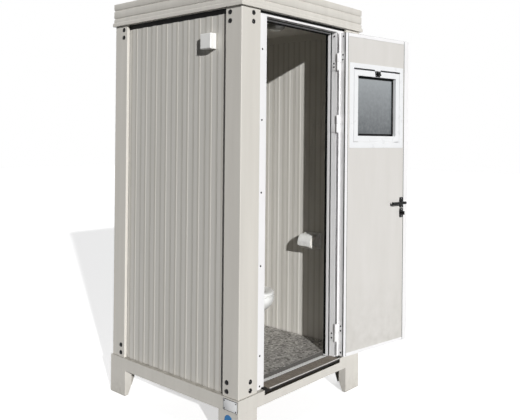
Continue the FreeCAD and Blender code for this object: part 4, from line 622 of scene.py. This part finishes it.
stop_face = -517
rebate_middle = 351.4
rebate_foot = 264
rebate_head = 2410.4
mesh = bmesh.new()
path = [(-rebate_middle, stop_face, rebate_foot), (-rebate_middle, stop_face, rebate_head)]
path += [(rebate_middle, stop_face, rebate_head), (rebate_middle, stop_face, rebate_foot)]
tube(mesh, path, oval(2.2, 1.6, 12, lift=-1.4), (0, 1, 0))
make_piece("door_frame_seal", mesh, black_rubber)

# Blackened screws with a recess hold the frame to the posts and the hinges to the jamb.
screw_steps = 14
screw_profile = [(0, -3), (2.4, -3), (2.4, -0.5), (6, -0.5)]
screw_profile += [(6, 0.5), (5, 1.3), (1.8, 1.5), (0, 0.3)]
flange_x = 391
flange_face = -559
flange_levels = (264, 440, 960, 1385, 1806, 2218)
jamb_x = 350.6
jamb_y = -540
jamb_levels = (377, 407, 2180, 2204, 2385)
mesh = bmesh.new()
for level in flange_levels:
    for side in (-1, 1):
        turned(mesh, screw_profile, (flange_x * side, flange_face, level), (0, -1, 0), screw_steps)
for level in jamb_levels:
    turned(mesh, screw_profile, (jamb_x, jamb_y, level), (-1, 0, 0), screw_steps)
make_piece("door_frame_screws", mesh, bolt_lacquer)

# A black strip in the narrow joint between the hinge jamb and its outer flange is the painted
# shadow of that joint.
frame_foot = 262
joint = [(359, -558), (359, -560), (362, -560.6), (365, -560), (365, -558)]
mesh = bmesh.new()
prism(mesh, joint, "Z", frame_foot, 2410)
make_piece("jamb_joint_painted_shadow", mesh, black_rubber)

# Strips of black rubber on the room side of the frame and under its head are painted shade,
# where the reveal and the underside of the head lie in shadow.
frame_shade_x = (337.4, 339.2)
frame_shade_y = (-499, -481.4)
frame_shade_top = 2396
head_shade_low = (-337, -516, 2396.2)
head_shade_high = (337, -482, 2398.4)
mesh = bmesh.new()
for side in (-1, 1):
    low_x, high_x = sorted(edge * side for edge in frame_shade_x)
    low = (low_x, frame_shade_y[0], frame_foot)
    high = (high_x, frame_shade_y[1], frame_shade_top)
    block(mesh, low, high, rounding=0.5, steps=2)
block(mesh, head_shade_low, head_shade_high, rounding=0.6, steps=2)
make_piece("door_frame_shade_strips", mesh, black_rubber)

# Door leaf
# Hollow aluminium edge sections, mitred and powder-coated like the frame, hold a sandwich
# panel. A rubber bead runs round the edge of the leaf and screws hold the corners.
paint(powder_white, "door_hinge_stile", "door_lock_stile", "door_cross_rails")

# The coil coating of the walls, smooth and without ribs, with rub marks near the foot.
door_coat, tree = new_surface("coil_coated_door_steel")
even = tones(tree, mottle(tree, 110, stretch=(1, 1, 0.2)), "#D4D1CC", "#DAD7D3")
kick_reach = {"From Min": 0.3, "From Max": 0.75, "To Min": 0.3, "To Max": 0.0}
low_part = add(tree, "MapRange", {"Value": place_along(tree, "Z"), **kick_reach})
rubbed = add(tree, "Math", {0: low_part, 1: mottle(tree, 60, detail=5.0)}, operation="MULTIPLY")
kicked = tones(tree, rubbed, even, "#A9A59C")
dress(tree, kicked, rough=(70, 0.36, 0.48), grain=6, depth_mm=0.06, edge_mm=1.5)
paint(door_coat, "door_panel")

hinge_edge = 326
lock_edge = -312
lip_edge = -344.6
leaf_low = 265
leaf_top = 2407
bead_y = -528.5
lip_y = -538
bead = oval(2.4, 2.6, 10)
mesh = bmesh.new()
path = [(hinge_edge, bead_y, leaf_low), (hinge_edge, bead_y, leaf_top)]
path.append((lock_edge, bead_y, leaf_top))
tube(mesh, path, bead, (0, 1, 0))
tube(mesh, [(lip_edge, lip_y, leaf_low), (lip_edge, lip_y, leaf_top - 2)], bead, (0, 1, 0))
make_piece("leaf_edge_bead", mesh, black_rubber, "door")

# Black lines between the edge sections and the panel are the painted shadow of the gap there.
leaf_face = -521
panel_sides = (-283.5, 304)
mesh = bmesh.new()
for line_x in panel_sides:
    line = [(line_x, leaf_face, leaf_low), (line_x, leaf_face, leaf_top - 3)]
    tube(mesh, line, oval(1.6, 0.8, 8), (0, 1, 0))
make_piece("panel_joint_shadow_lines", mesh, black_rubber, "door")

# The screws of the corners sit on the edge of the leaf, and those of the hinges on their plates.
edge_screw_y = -546
corner_levels = (287, 2383)
hinge_screw_levels = (431, 461, 2228, 2259)
hinge_plate_rise = 3
mesh = bmesh.new()
plate_x = hinge_edge + hinge_plate_rise
for base_x, levels in ((hinge_edge, corner_levels), (plate_x, hinge_screw_levels)):
    for level in levels:
        turned(mesh, screw_profile, (base_x, edge_screw_y, level), (1, 0, 0), screw_steps)
make_piece("leaf_edge_screws", mesh, bolt_lacquer, "door")

# Hinges
# Three lift-off hinges of drawn aluminium, powder-coated white with the door: the lower
# knuckle is screwed to the jamb with the steel pin, the upper one lifts off with the leaf.
pin_x = 351
pin_y = -571
hinge_levels = (415, 1801, 2213)
half_height = 57.5
half_gap = 0.7
jamb_plate_x = (pin_x, 354)
jamb_plate_y = (pin_y, -519)
leaf_plate = [(326, -569), (347.6, -569), (347.6, -566.2), (330, -566.2)]
leaf_plate += [(329, -565.2), (329, -533), (326, -533)]
lower_knuckle = [(0, -58), (6.5, -58), (8.4, -57.2), (9, -55), (9, -2), (8.4, -0.6), (0, -0.6)]
upper_knuckle = [(4.2, 0.6), (8.4, 0.6), (9, 2), (9, 55), (8.4, 57.2), (6.5, 58), (4.2, 58)]
pin_profile = [(0, -1), (3.8, -1), (3.8, 55), (3, 57), (0, 57)]
on_frame = bmesh.new()
on_leaf = bmesh.new()
for level in hinge_levels:
    turned(on_frame, lower_knuckle, (pin_x, pin_y, level), (0, 0, 1))
    turned(on_frame, pin_profile, (pin_x, pin_y, level), (0, 0, 1), steps=16)
    low = (jamb_plate_x[0], jamb_plate_y[0], level - half_height)
    high = (jamb_plate_x[1], jamb_plate_y[1], level - half_gap)
    block(on_frame, low, high, rounding=0.9, steps=2)
    turned(on_leaf, upper_knuckle, (pin_x, pin_y, level), (0, 0, 1), hollow=True)
    prism(on_leaf, leaf_plate, "Z", level + half_gap, level + half_height)
make_piece(
    "hinge_frame_knuckles", on_frame, powder_white, stands_for=["hinge_frame_leaves"]
)
make_piece(
    "hinge_leaf_knuckles", on_leaf, powder_white, "door", ["hinge_door_leaves"]
)

# Lock and levers
# A mortice lock in the lock stile with a latch worked by the levers and a dead bolt worked
# by the inner turn. Plates, turn and levers are glass-filled nylon, moulded black.

# Moulded nylon: near black and satin, with the spark texture of its mould, about 0.3 mm,
# drawn at 2.5 mm.
black_nylon, tree = new_surface("moulded_black_nylon")
nylon_tone = tones(tree, mottle(tree, 16), "#040404", "#0D0D0E")
dress(
    tree, nylon_tone, rough=(12, 0.32, 0.48), grain=2.5, depth_mm=0.04, edge_mm=1.4, specular=0.22
)
paint(black_nylon, "escutcheons", "thumb_turn")
paint(zinc_plate, "lock_case", "latch_bolt", "dead_bolt")


def eased(points, radius, steps=7):
    """Round the inner corners of a path to a radius."""
    points = [Vector(point) for point in points]
    path = [points[0]]
    for before, spot, after in zip(points, points[1:], points[2:]):
        back = (before - spot).normalized()
        ahead = (after - spot).normalized()
        half = back.angle(ahead) / 2
        cut = radius / math.tan(half)
        centre = spot + (back + ahead).normalized() * (radius / math.sin(half))
        first = (spot + back * cut - centre).normalized()
        final = (spot + ahead * cut - centre).normalized()
        path += [centre + first.slerp(final, step / steps) * radius for step in range(steps + 1)]
    return path + [points[-1]]


lock_x = -261
lever_z = 1252
inner_plate = -523
outer_plate = -569
standoff = 42
lever_end_x = -137
lever_return = 18
lever_bend = 8
lever_section = oval(6, 9.5, 20, 3.2)
neck = [(0, 0), (9, 0), (9, 8), (8.4, 10), (8.4, standoff - 8), (8.8, standoff - 2)]
neck += [(8, standoff + 4), (5, standoff + 5.8), (0, standoff + 6)]
spindle = [(0, 0), (5, 0), (5, 46), (0, 46)]
mesh = bmesh.new()
for face, outward in ((inner_plate, 1), (outer_plate, -1)):
    grip_y = face + standoff * outward
    tip_y = grip_y - lever_return * outward
    bar = [(lock_x - 2, grip_y, lever_z), (lever_end_x, grip_y, lever_z)]
    bar.append((lever_end_x, tip_y, lever_z))
    tube(mesh, eased(bar, lever_bend), lever_section, (0, 0, 1))
    turned(mesh, neck, (lock_x, face, lever_z), (0, outward, 0))
turned(mesh, spindle, (lock_x, outer_plate, lever_z), (0, 1, 0), steps=16)
make_piece("levers_with_spindle", mesh, black_nylon, "levers", ["lever_handles"])

turn_z = 1178
plate_face = -518
plate_screw = [(0, -1), (2.6, -1), (2.6, 0.5), (1.8, 0.9), (1, 0.2), (0, 0.2)]
mesh = bmesh.new()
for middle, reach in ((lever_z, 29), (turn_z, 25)):
    for level in (middle - reach, middle + reach):
        turned(mesh, plate_screw, (lock_x, plate_face, level), (0, 1, 0), screw_steps)
make_piece("plate_screws", mesh, zinc_plate, "door")

# Window
# A bottom-hung sash of extruded and welded white PVC in a flanged frame. Black rubber
# gaskets seal the pane and the top joint, and a sliding catch holds the sash shut.

# Extruded PVC: bright neutral white and smooth, with faint draw lines along its runs.
white_pvc, tree = new_surface("extruded_white_pvc")
draw_lines = mottle(tree, 5, stretch=(1, 1, 0.1))
pvc_tone = tones(tree, mottle(tree, 80), "#EBECED", "#EFF0F1")
dress(
    tree, pvc_tone, rough=(60, 0.26, 0.34), grain=draw_lines, depth_mm=0.02, edge_mm=1.6, ior=1.53
)
paint(white_pvc, "window_frame", "sash_frame")

# Grey-tinted float glass: dark, with a painted reflection of the pale sky above and the
# ground below, and a thin veil of dust.
tinted_glass, tree = new_surface("grey_tinted_glass")
pane_reach = {"From Min": 1.74, "From Max": 2.13}
rise = add(tree, "MapRange", {"Value": place_along(tree, "Z"), **pane_reach})
painted_reflection = tones(tree, rise, "#53575A", "#969B9E")
dusty = tones(tree, mottle(tree, 22, 0.0, 0.16, detail=7.0), painted_reflection, "#B4B8BA")
dress(tree, dusty, rough=(60, 0.02, 0.05), grain=300, depth_mm=0.02, edge_mm=0.5, ior=1.52)
paint(tinted_glass, "window_glass")

window_x = 6.25
gasket_half = 190.5
gasket_low = 1731.5
gasket_high = 2122.5
pane_face = -549
left, right = window_x - gasket_half, window_x + gasket_half
ring = [(left, pane_face, gasket_low), (right, pane_face, gasket_low)]
ring += [(right, pane_face, gasket_high), (left, pane_face, gasket_high)]
mesh = bmesh.new()
tube(mesh, ring, oval(7.5, 3, 12, 2.6, lift=2.6), (0, 1, 0), loop=True)
make_piece("pane_gasket", mesh, black_rubber, "sash")

# The top joint's seal stops on both sides of the catch.
joint_half = 240
catch_half = 32
joint_level = 2176
mesh = bmesh.new()
for start, end in ((-joint_half, -catch_half), (catch_half, joint_half)):
    line = [(window_x + start, leaf_face, joint_level), (window_x + end, leaf_face, joint_level)]
    tube(mesh, line, oval(4.2, 1.4, 10, lift=0.4), (0, 1, 0))
make_piece("sash_top_seal", mesh, black_rubber, "door")

# The catch plate is screwed to the sash; its wedge grip is ribbed for the thumb.
paint(black_nylon, "window_catch", "catch_slider")
catch_face = -517
mesh = bmesh.new()
for level, reach in ((2158, 20), (2141, 18)):
    for way in (-1, 1):
        screw_place = (window_x + reach * way, catch_face, level)
        turned(mesh, plate_screw, screw_place, (0, 1, 0), screw_steps)
make_piece("catch_screws", mesh, zinc_plate, "sash")

grip_half = 11
grip_foot = 2146
grip_face = -499.4
grip_rib_pitch = 4.6
grip_slope = 2.4
grip_ribs = 4
mesh = bmesh.new()
for rib in range(grip_ribs):
    rib_z = grip_foot + rib * grip_rib_pitch
    rib_y = grip_face - rib * grip_slope
    line = [(window_x - grip_half, rib_y, rib_z), (window_x + grip_half, rib_y, rib_z)]
    tube(mesh, line, oval(0.9, 1.1, 8), (0, 0, 1))
make_piece("catch_grip_ribs", mesh, black_nylon, "catch")

# Junction box
# A surface box of moulded pale PVC with a deep lid, screwed to the left wall near the top,
# where the supply comes in.

# Moulded rigid PVC: almost white, satin, with a fine spark texture drawn at 4 mm.
pale_pvc, tree = new_surface("moulded_pale_pvc")
pale_tone = tones(tree, mottle(tree, 40), "#F1F0ED", "#F8F7F4")
dress(tree, pale_tone, rough=(30, 0.34, 0.46), grain=4, depth_mm=0.05, edge_mm=2.2, ior=1.53)
paint(pale_pvc, "junction_box", "junction_box_lid")

# Ceiling lamp
# A round bulkhead lamp: a white moulded base screwed to the ceiling and an opal dome that
# clips on over it. The lamp is switched off.

# Opal acrylic: smooth and milky, with painted shade darkening it near the ceiling.
opal_acrylic, tree = new_surface("opal_acrylic")
dome_reach = {"From Min": 2.394, "From Max": 2.43}
rim_shade = add(tree, "MapRange", {"Value": place_along(tree, "Z"), **dome_reach})
opal_tone = tones(tree, rim_shade, "#DADAD6", "#6F6F6D")
dress(
    tree, opal_tone, rough=(20, 0.12, 0.22), grain=12, depth_mm=0.02, edge_mm=1.0,
    ior=1.49, coat=0.4,
)

# Moulded ABS: white and satin.
white_abs, tree = new_surface("moulded_white_abs")
abs_tone = tones(tree, mottle(tree, 30), "#E6E6E3", "#F0F0ED")
dress(tree, abs_tone, rough=(25, 0.22, 0.34), grain=4, depth_mm=0.03, edge_mm=2.0)

lamp_place = (0, -325, 2460)
lamp_steps = 48
base_profile = [(0, 0), (66, 0), (66, -14), (65, -17), (62, -20), (0, -20)]
mesh = bmesh.new()
turned(mesh, base_profile, lamp_place, (0, 0, 1), lamp_steps)
make_piece("lamp_base_turned", mesh, white_abs, stands_for=["lamp_base"])

dome_radius = 61
dome_collar = -30
dome_depth = 36
dome_steps = 10
dome = [(0, -20), (dome_radius, -20), (dome_radius, dome_collar)]
for step in range(1, dome_steps):
    turn = math.pi / 2 * step / dome_steps
    dome.append((dome_radius * math.cos(turn), dome_collar - dome_depth * math.sin(turn)))
dome.append((0, dome_collar - dome_depth))
mesh = bmesh.new()
turned(mesh, dome, lamp_place, (0, 0, 1), lamp_steps)
make_piece("lamp_dome", mesh, opal_acrylic, stands_for=["lamp_diffuser"])

# Toilet pan
# Slip-cast and glazed sanitary ceramic: an oval bowl on a narrow pedestal that widens to
# a plinth, squared off at the back where the seat and the waste pipe join.

# White glaze: glassy and slightly uneven, thicker and brighter over the body.
ceramic_glaze, tree = new_surface("white_ceramic_glaze")
glaze = tones(tree, mottle(tree, 60), "#EBEBE8", "#F4F4F2")
dress(tree, glaze, rough=(40, 0.04, 0.09), grain=45, depth_mm=0.08, edge_mm=2.0, ior=1.52, coat=0.6)

floor_top = 277
pan_x = 45
ring_steps = 44


def egg_ring(mesh, level, half_width, front, back, square, narrow):
    """An oval that is round in front and squarer and narrower towards the back."""
    middle = front + (back - front) * 0.5
    ring = []
    for step in range(ring_steps):
        angle = math.tau * step / ring_steps
        across, along = math.cos(angle), math.sin(angle)
        fat = 2 / (square if along > 0 else 2.0)
        x = half_width * math.copysign(abs(across) ** fat, across)
        y = (back - middle) * math.copysign(abs(along) ** fat, along)
        x *= 1 - narrow * max(y, 0) / (back - middle)
        ring.append(mesh.verts.new((pan_x + x, middle + y, floor_top + level)))
    return ring


# Each row is a level with its half width, front, back, squareness and narrowing.
outer_body = [
    (0, 114, -112, 208, 2.6, 0.0),
    (14, 113, -111, 207, 2.6, 0.0),
    (22, 105, -102, 202, 2.6, 0.0),
    (70, 98, -96, 204, 2.8, 0.0),
    (130, 97, -98, 212, 3.0, 0.05),
    (175, 103, -108, 226, 3.4, 0.1),
    (215, 118, -130, 244, 4.0, 0.18),
    (250, 138, -164, 256, 4.4, 0.24),
    (278, 156, -204, 260, 4.5, 0.26),
    (300, 168, -230, 262, 4.6, 0.27),
    (322, 176, -248, 263, 4.6, 0.28),
    (342, 179, -255, 263, 4.6, 0.28),
    (362, 180, -257, 263, 4.6, 0.28),
    (371, 178, -255, 261, 4.6, 0.28),
    (375, 172, -249, 255, 4.6, 0.28),
]
inner_bowl = [
    (375, 134, -208, 144, 2.0, 0.0),
    (371, 129, -203, 139, 2.0, 0.0),
    (330, 127, -201, 137, 2.0, 0.0),
    (260, 116, -190, 124, 2.0, 0.0),
    (205, 92, -160, 96, 2.0, 0.0),
    (175, 60, -110, 60, 2.0, 0.0),
    (166, 26, -70, 20, 2.0, 0.0),
]
waste_z = 462
outlet = [(0, 190), (50, 190), (50, 290), (47.5, 293), (44, 293), (44, 250), (0, 250)]
pipe_steps = 36
mesh = bmesh.new()
rings = [egg_ring(mesh, *row) for row in outer_body + inner_bowl]
for low, high in zip(rings, rings[1:]):
    join_rings(mesh, low, high)
mesh.faces.new(rings[0])
mesh.faces.new(rings[-1])
turned(mesh, outlet, (pan_x, 0, waste_z), (0, 1, 0), pipe_steps)
make_piece("pan_glazed", mesh, ceramic_glaze, stands_for=["toilet_pan"])

# Seat and hinges
# A ring of moulded white thermoset on two pin hinges of chromed zinc, with pads under it
# that keep it off the glaze.

# Compression-moulded urea: hard, bright and glossier than ABS.
white_urea, tree = new_surface("moulded_white_urea")
urea_tone = tones(tree, mottle(tree, 35), "#EFEFEC", "#F6F6F4")
dress(tree, urea_tone, rough=(30, 0.12, 0.2), grain=9, depth_mm=0.03, edge_mm=1.5, ior=1.55)

seat_under = 655
seat_middle = -32
outer_w, outer_l = 178, 215
inner_w, inner_l = 106, 148
seat_steps = 56
# Each row insets the inner or the outer oval at a height above the seat's underside.
seat_rows = [
    (inner_w + 1, inner_l + 1, 0),
    (outer_w - 3, outer_l - 3, 0),
    (outer_w, outer_l, 4),
    (outer_w - 0.5, outer_l - 0.5, 10),
    (outer_w - 5, outer_l - 5, 16),
    (outer_w - 16, outer_l - 16, 19.6),
    (inner_w + 22, inner_l + 22, 18.4),
    (inner_w + 8, inner_l + 8, 14),
    (inner_w + 1, inner_l + 1, 8),
]
mesh = bmesh.new()
rings = []
for half_width, half_length, level in seat_rows:
    ring = []
    for step in range(seat_steps):
        angle = math.tau * step / seat_steps
        x = pan_x + half_width * math.cos(angle)
        y = seat_middle + half_length * math.sin(angle)
        ring.append(mesh.verts.new((x, y, seat_under + level)))
    rings.append(ring)
for low, high in zip(rings, rings[1:] + rings[:1]):
    join_rings(mesh, low, high)

pivot_y, pivot_z = 211, 665
lug_from_middle = 70
lug_half = 16
lug = [(4.3, -lug_half), (8.4, -lug_half), (9.6, -14.6)]
lug += [(9.6, 14.6), (8.4, lug_half), (4.3, lug_half)]
arm_y = (128, pivot_y - 4)
arm_z = (seat_under + 1, seat_under + 18)
pad_from_lug = 20
pad_half = 9
pad_y = (-143, -125)
pad_z = (652.2, seat_under + 1)
for side in (-1, 1):
    lug_x = pan_x + lug_from_middle * side
    low = (lug_x - lug_half, arm_y[0], arm_z[0])
    high = (lug_x + lug_half, arm_y[1], arm_z[1])
    block(mesh, low, high, rounding=3)
    turned(mesh, lug, (lug_x, pivot_y, pivot_z), (1, 0, 0), steps=24, hollow=True)
    pad_x = lug_x + pad_from_lug * side
    low = (pad_x - pad_half, pad_y[0], pad_z[0])
    high = (pad_x + pad_half, pad_y[1], pad_z[1])
    block(mesh, low, high, rounding=0.7, steps=2)
make_piece("seat_moulded", mesh, white_urea, "seat", ["toilet_seat"])

# Chromed zinc: bright, cool and nearly a mirror.
chrome_plate, tree = new_surface("chrome_plate")
chrome_tone = tones(tree, mottle(tree, 12), "#C9CBCD", "#DCDEDF")
dress(tree, chrome_tone, rough=(16, 0.06, 0.14), grain=6, depth_mm=0.01, edge_mm=0.8, metallic=1.0)
paint(chrome_plate, "seat_hinges", "flush_button")

# Pipes
# The waste pipe is grey push-fit PVC with a swept bend, the flush bend is white, and the
# cold water comes up in chromed copper with a hexagon nut at each end.

# Extruded grey PVC: satin with fine draw lines.
grey_pvc, tree = new_surface("extruded_grey_pvc")
grey_tone = tones(tree, mottle(tree, 50), "#6C6F72", "#7B7E80")
dress(tree, grey_tone, rough=(30, 0.34, 0.46), grain=5, depth_mm=0.03, edge_mm=1.0, ior=1.53)

waste_y = 407
waste_start = 293.2
waste_foot = 190
socket_foot = 110
waste_radius = 55
waste_bend = 74
collar = [(54, 0), (61, 0), (62, 1.5), (62, 10.5), (61, 12), (54, 12)]
spigot = [(0, 0), (53, 0), (waste_radius, 3), (waste_radius, 80.5), (0, 80.5)]
bend_steps = 12
mesh = bmesh.new()
run = [(pan_x, waste_start, waste_z), (pan_x, waste_y, waste_z), (pan_x, waste_y, waste_foot)]
section = oval(waste_radius, waste_radius, pipe_steps)
tube(mesh, eased(run, waste_bend, bend_steps), section, (1, 0, 0))
turned(mesh, collar, (pan_x, waste_y, waste_foot), (0, 0, 1), pipe_steps, hollow=True)
turned(mesh, spigot, (pan_x, waste_y, socket_foot), (0, 0, 1), pipe_steps)
make_piece("waste_bend", mesh, grey_pvc, stands_for=["waste_pipe"])

tank_y = 444.5
tank_foot = 932
flush_start = 263.4
flush_z = 602
flush_radius = 18
flush_bend = 60
thin_steps = 24
mesh = bmesh.new()
run = [(pan_x, flush_start, flush_z), (pan_x, tank_y, flush_z), (pan_x, tank_y, tank_foot)]
section = oval(flush_radius, flush_radius, thin_steps)
tube(mesh, eased(run, flush_bend, bend_steps), section, (1, 0, 0))
make_piece("flush_bend", mesh, white_abs, stands_for=["flush_pipe"])

water_place = (-105, tank_y, 0)
water_pipe = [(0, 120), (9.4, 120), (10, 121), (10, tank_foot), (0, tank_foot)]
nut = [(10, 0), (14.5, 0), (16, 2), (16, 22), (14.5, 24), (10, 24)]
nut_levels = (180, 908)
mesh = bmesh.new()
turned(mesh, water_pipe, water_place, (0, 0, 1), thin_steps)
for level in nut_levels:
    turned(mesh, nut, (*water_place[:2], level), (0, 0, 1), steps=6, hollow=True)
make_piece("water_riser", mesh, chrome_plate, stands_for=["water_pipe"])

# Cistern
# A blow-moulded white ABS tank hung on the rear wall, with a separate lid whose front edge
# carries a thin bead.
paint(white_abs, "cistern")
lid_level = 1229
bead_half = 161.6
bead_y = (376.4, 378.6)
bead_thick = 2.4
mesh = bmesh.new()
low = (pan_x - bead_half, bead_y[0], lid_level)
high = (pan_x + bead_half, bead_y[1], lid_level + bead_thick)
block(mesh, low, high, rounding=0.7, steps=2)
make_piece("cistern_lid_bead", mesh, white_abs)

# Paper holder
# A moulded back plate with two cheeks and a spindle carries the roll, and a curved cover
# swings over it on two pins.
paint(white_abs, "paper_holder")
roll_x, roll_y, roll_z = 468, -252, 967
cover_half = 54
cover_back = 503
cover_skirt = 19
cover_pin = (504, roll_y, roll_z + 57.5)
knuckle = [(2.7, -cover_half), (4.6, -cover_half), (5, -53.4), (5, 53.4)]
knuckle += [(4.6, cover_half), (2.7, cover_half)]
arc_steps = 18
hood = []
for radius, way in ((58.6, 1), (56.2, -1)):
    arc = [(cover_back, roll_z + radius), (roll_x, roll_z + radius)]
    for step in range(1, arc_steps + 1):
        angle = math.radians(90 + 90 * step / arc_steps)
        arc.append((roll_x + radius * math.cos(angle), roll_z + radius * math.sin(angle)))
    arc.append((roll_x - radius, roll_z - cover_skirt))
    hood += arc[::way]
mesh = bmesh.new()
prism(mesh, hood, "Y", roll_y - cover_half, roll_y + cover_half)
turned(mesh, knuckle, cover_pin, (0, 1, 0), steps=20, hollow=True)
make_piece("paper_hood", mesh, white_abs, "cover", ["paper_cover"])

# Tissue: soft and matt, with a faint quilting of 8 mm. Its end hangs down a short way.
tissue, tree = new_surface("wound_tissue_paper")
tissue_tone = tones(tree, mottle(tree, 10), "#E6E3DC", "#F3F1EB")
dress(tree, tissue_tone, rough=(20, 0.85, 0.95), grain=8, depth_mm=0.5, edge_mm=0.5, ior=1.45)
tail_face = (46.6, 45.4)
tail_half = 51
tail_drop = 25
roll_profile = [(20, -52), (45.2, -52), (46, -51), (46, 51), (45.2, 52), (20, 52)]
mesh = bmesh.new()
turned(mesh, roll_profile, (roll_x, roll_y, roll_z), (0, 1, 0), steps=48, hollow=True)
low = (roll_x - tail_face[0], roll_y - tail_half, roll_z - tail_drop)
high = (roll_x - tail_face[1], roll_y + tail_half, roll_z)
block(mesh, low, high, rounding=0.4, steps=1)
make_piece("wound_roll", mesh, tissue, "roll", ["paper_roll"])

# Ground and light
# A pale floor, low sun from the front left and a weak sky fill. The camera, glossy faces
# and glass see floor and sky as white; the mat floor itself lights the part only a little.
ground_half = 30.0
ground_mesh = bmesh.new()
corners = [(-ground_half, -ground_half, 0), (ground_half, -ground_half, 0)]
corners += [(ground_half, ground_half, 0), (-ground_half, ground_half, 0)]
ground_mesh.faces.new([ground_mesh.verts.new(corner) for corner in corners])
ground_data = bpy.data.meshes.new("ground")
ground_mesh.to_mesh(ground_data)
ground_mesh.free()
ground = bpy.data.objects.new("ground", ground_data)
scene.collection.objects.link(ground)


def seen_directly(tree):
    """A factor that is 1 for rays from the camera, from glossy surfaces and through glass."""
    seen = add(tree, "LightPath", out="Is Camera Ray")
    for kind in ("Is Glossy Ray", "Is Transmission Ray"):
        ray = add(tree, "LightPath", out=kind)
        seen = add(tree, "Math", {0: seen, 1: ray}, operation="MAXIMUM")
    return seen


floor_glow = 0.62
pale_floor, tree = new_surface("pale_floor")
mat_floor = add(tree, "BsdfDiffuse", {"Color": linear("#585858")})
white_floor = add(tree, "BsdfDiffuse", {"Color": linear("#F2F2F2")})
glow = add(tree, "Emission", {"Color": linear("#FFFFFF"), "Strength": floor_glow})
white_glow = add(tree, "AddShader", {0: white_floor, 1: glow})
shown = add(tree, "MixShader", {0: seen_directly(tree), 1: mat_floor, 2: white_glow})
add(tree, "OutputMaterial", {"Surface": shown})
ground.data.materials.append(pale_floor)


def shine(name, travel, strength, breadth):
    """A sun whose light travels one way, as broad in the sky as its degrees say."""
    data = bpy.data.lights.new(name, "SUN")
    data.energy = strength
    data.angle = math.radians(breadth)
    lamp = bpy.data.objects.new(name, data)
    lamp.rotation_euler = Vector(travel).to_track_quat("-Z", "Y").to_euler()
    scene.collection.objects.link(lamp)


shine("low_sun", travel=(0.47, 0.82, -0.32), strength=3.6, breadth=1.2)
# A broad, weak fill from behind and the right keeps the shaded sides readable.
shine("back_fill", travel=(-0.55, -0.75, -0.36), strength=1.6, breadth=80)

sky_strength = 0.035
world = bpy.data.worlds.new("sky")
scene.world = world
world.use_nodes = True
tree = world.node_tree
tree.nodes.clear()
sky_fill = add(tree, "Background", {"Color": linear("#E6EAF2"), "Strength": sky_strength})
sky_white = add(tree, "Background", {"Color": linear("#FFFFFF"), "Strength": 1.0})
shown = add(tree, "MixShader", {0: seen_directly(tree), 1: sky_fill, 2: sky_white})
add(tree, "OutputWorld", {"Surface": shown})

# Camera
# Placed where the straight edges of the part meet those of the photograph, whose frame is
# 520 x 420 pixels; the horizon lies above its middle.
camera_place = Vector((-3.208, -3.052, 1.694))
camera_yaw = math.radians(48.338)
camera_pitch = math.radians(0.202)
camera_roll = math.radians(0.54)
focal_pixels = 649.19
image_width = 520
image_height = 420
horizon_pixel = 137.03
sensor_width = 36.0
far_limit = 200.0
look = Vector((
    math.sin(camera_yaw) * math.cos(camera_pitch),
    math.cos(camera_yaw) * math.cos(camera_pitch),
    math.sin(camera_pitch),
))
level_right = Vector((math.cos(camera_yaw), -math.sin(camera_yaw), 0))
level_up = level_right.cross(look)
right = math.cos(camera_roll) * level_right + math.sin(camera_roll) * level_up
up = math.cos(camera_roll) * level_up - math.sin(camera_roll) * level_right
camera_data = bpy.data.cameras.new("photo_camera")
camera_data.sensor_width = sensor_width
camera_data.sensor_fit = "HORIZONTAL"
camera_data.lens = focal_pixels * sensor_width / image_width
camera_data.shift_y = (horizon_pixel - image_height / 2) / image_width
camera_data.clip_end = far_limit
camera = bpy.data.objects.new("photo_camera", camera_data)
facing = Matrix((right, up, -look)).transposed().to_4x4()
camera.matrix_world = Matrix.Translation(camera_place) @ facing
scene.collection.objects.link(camera)
scene.camera = camera
scene.view_settings.view_transform = "Standard"
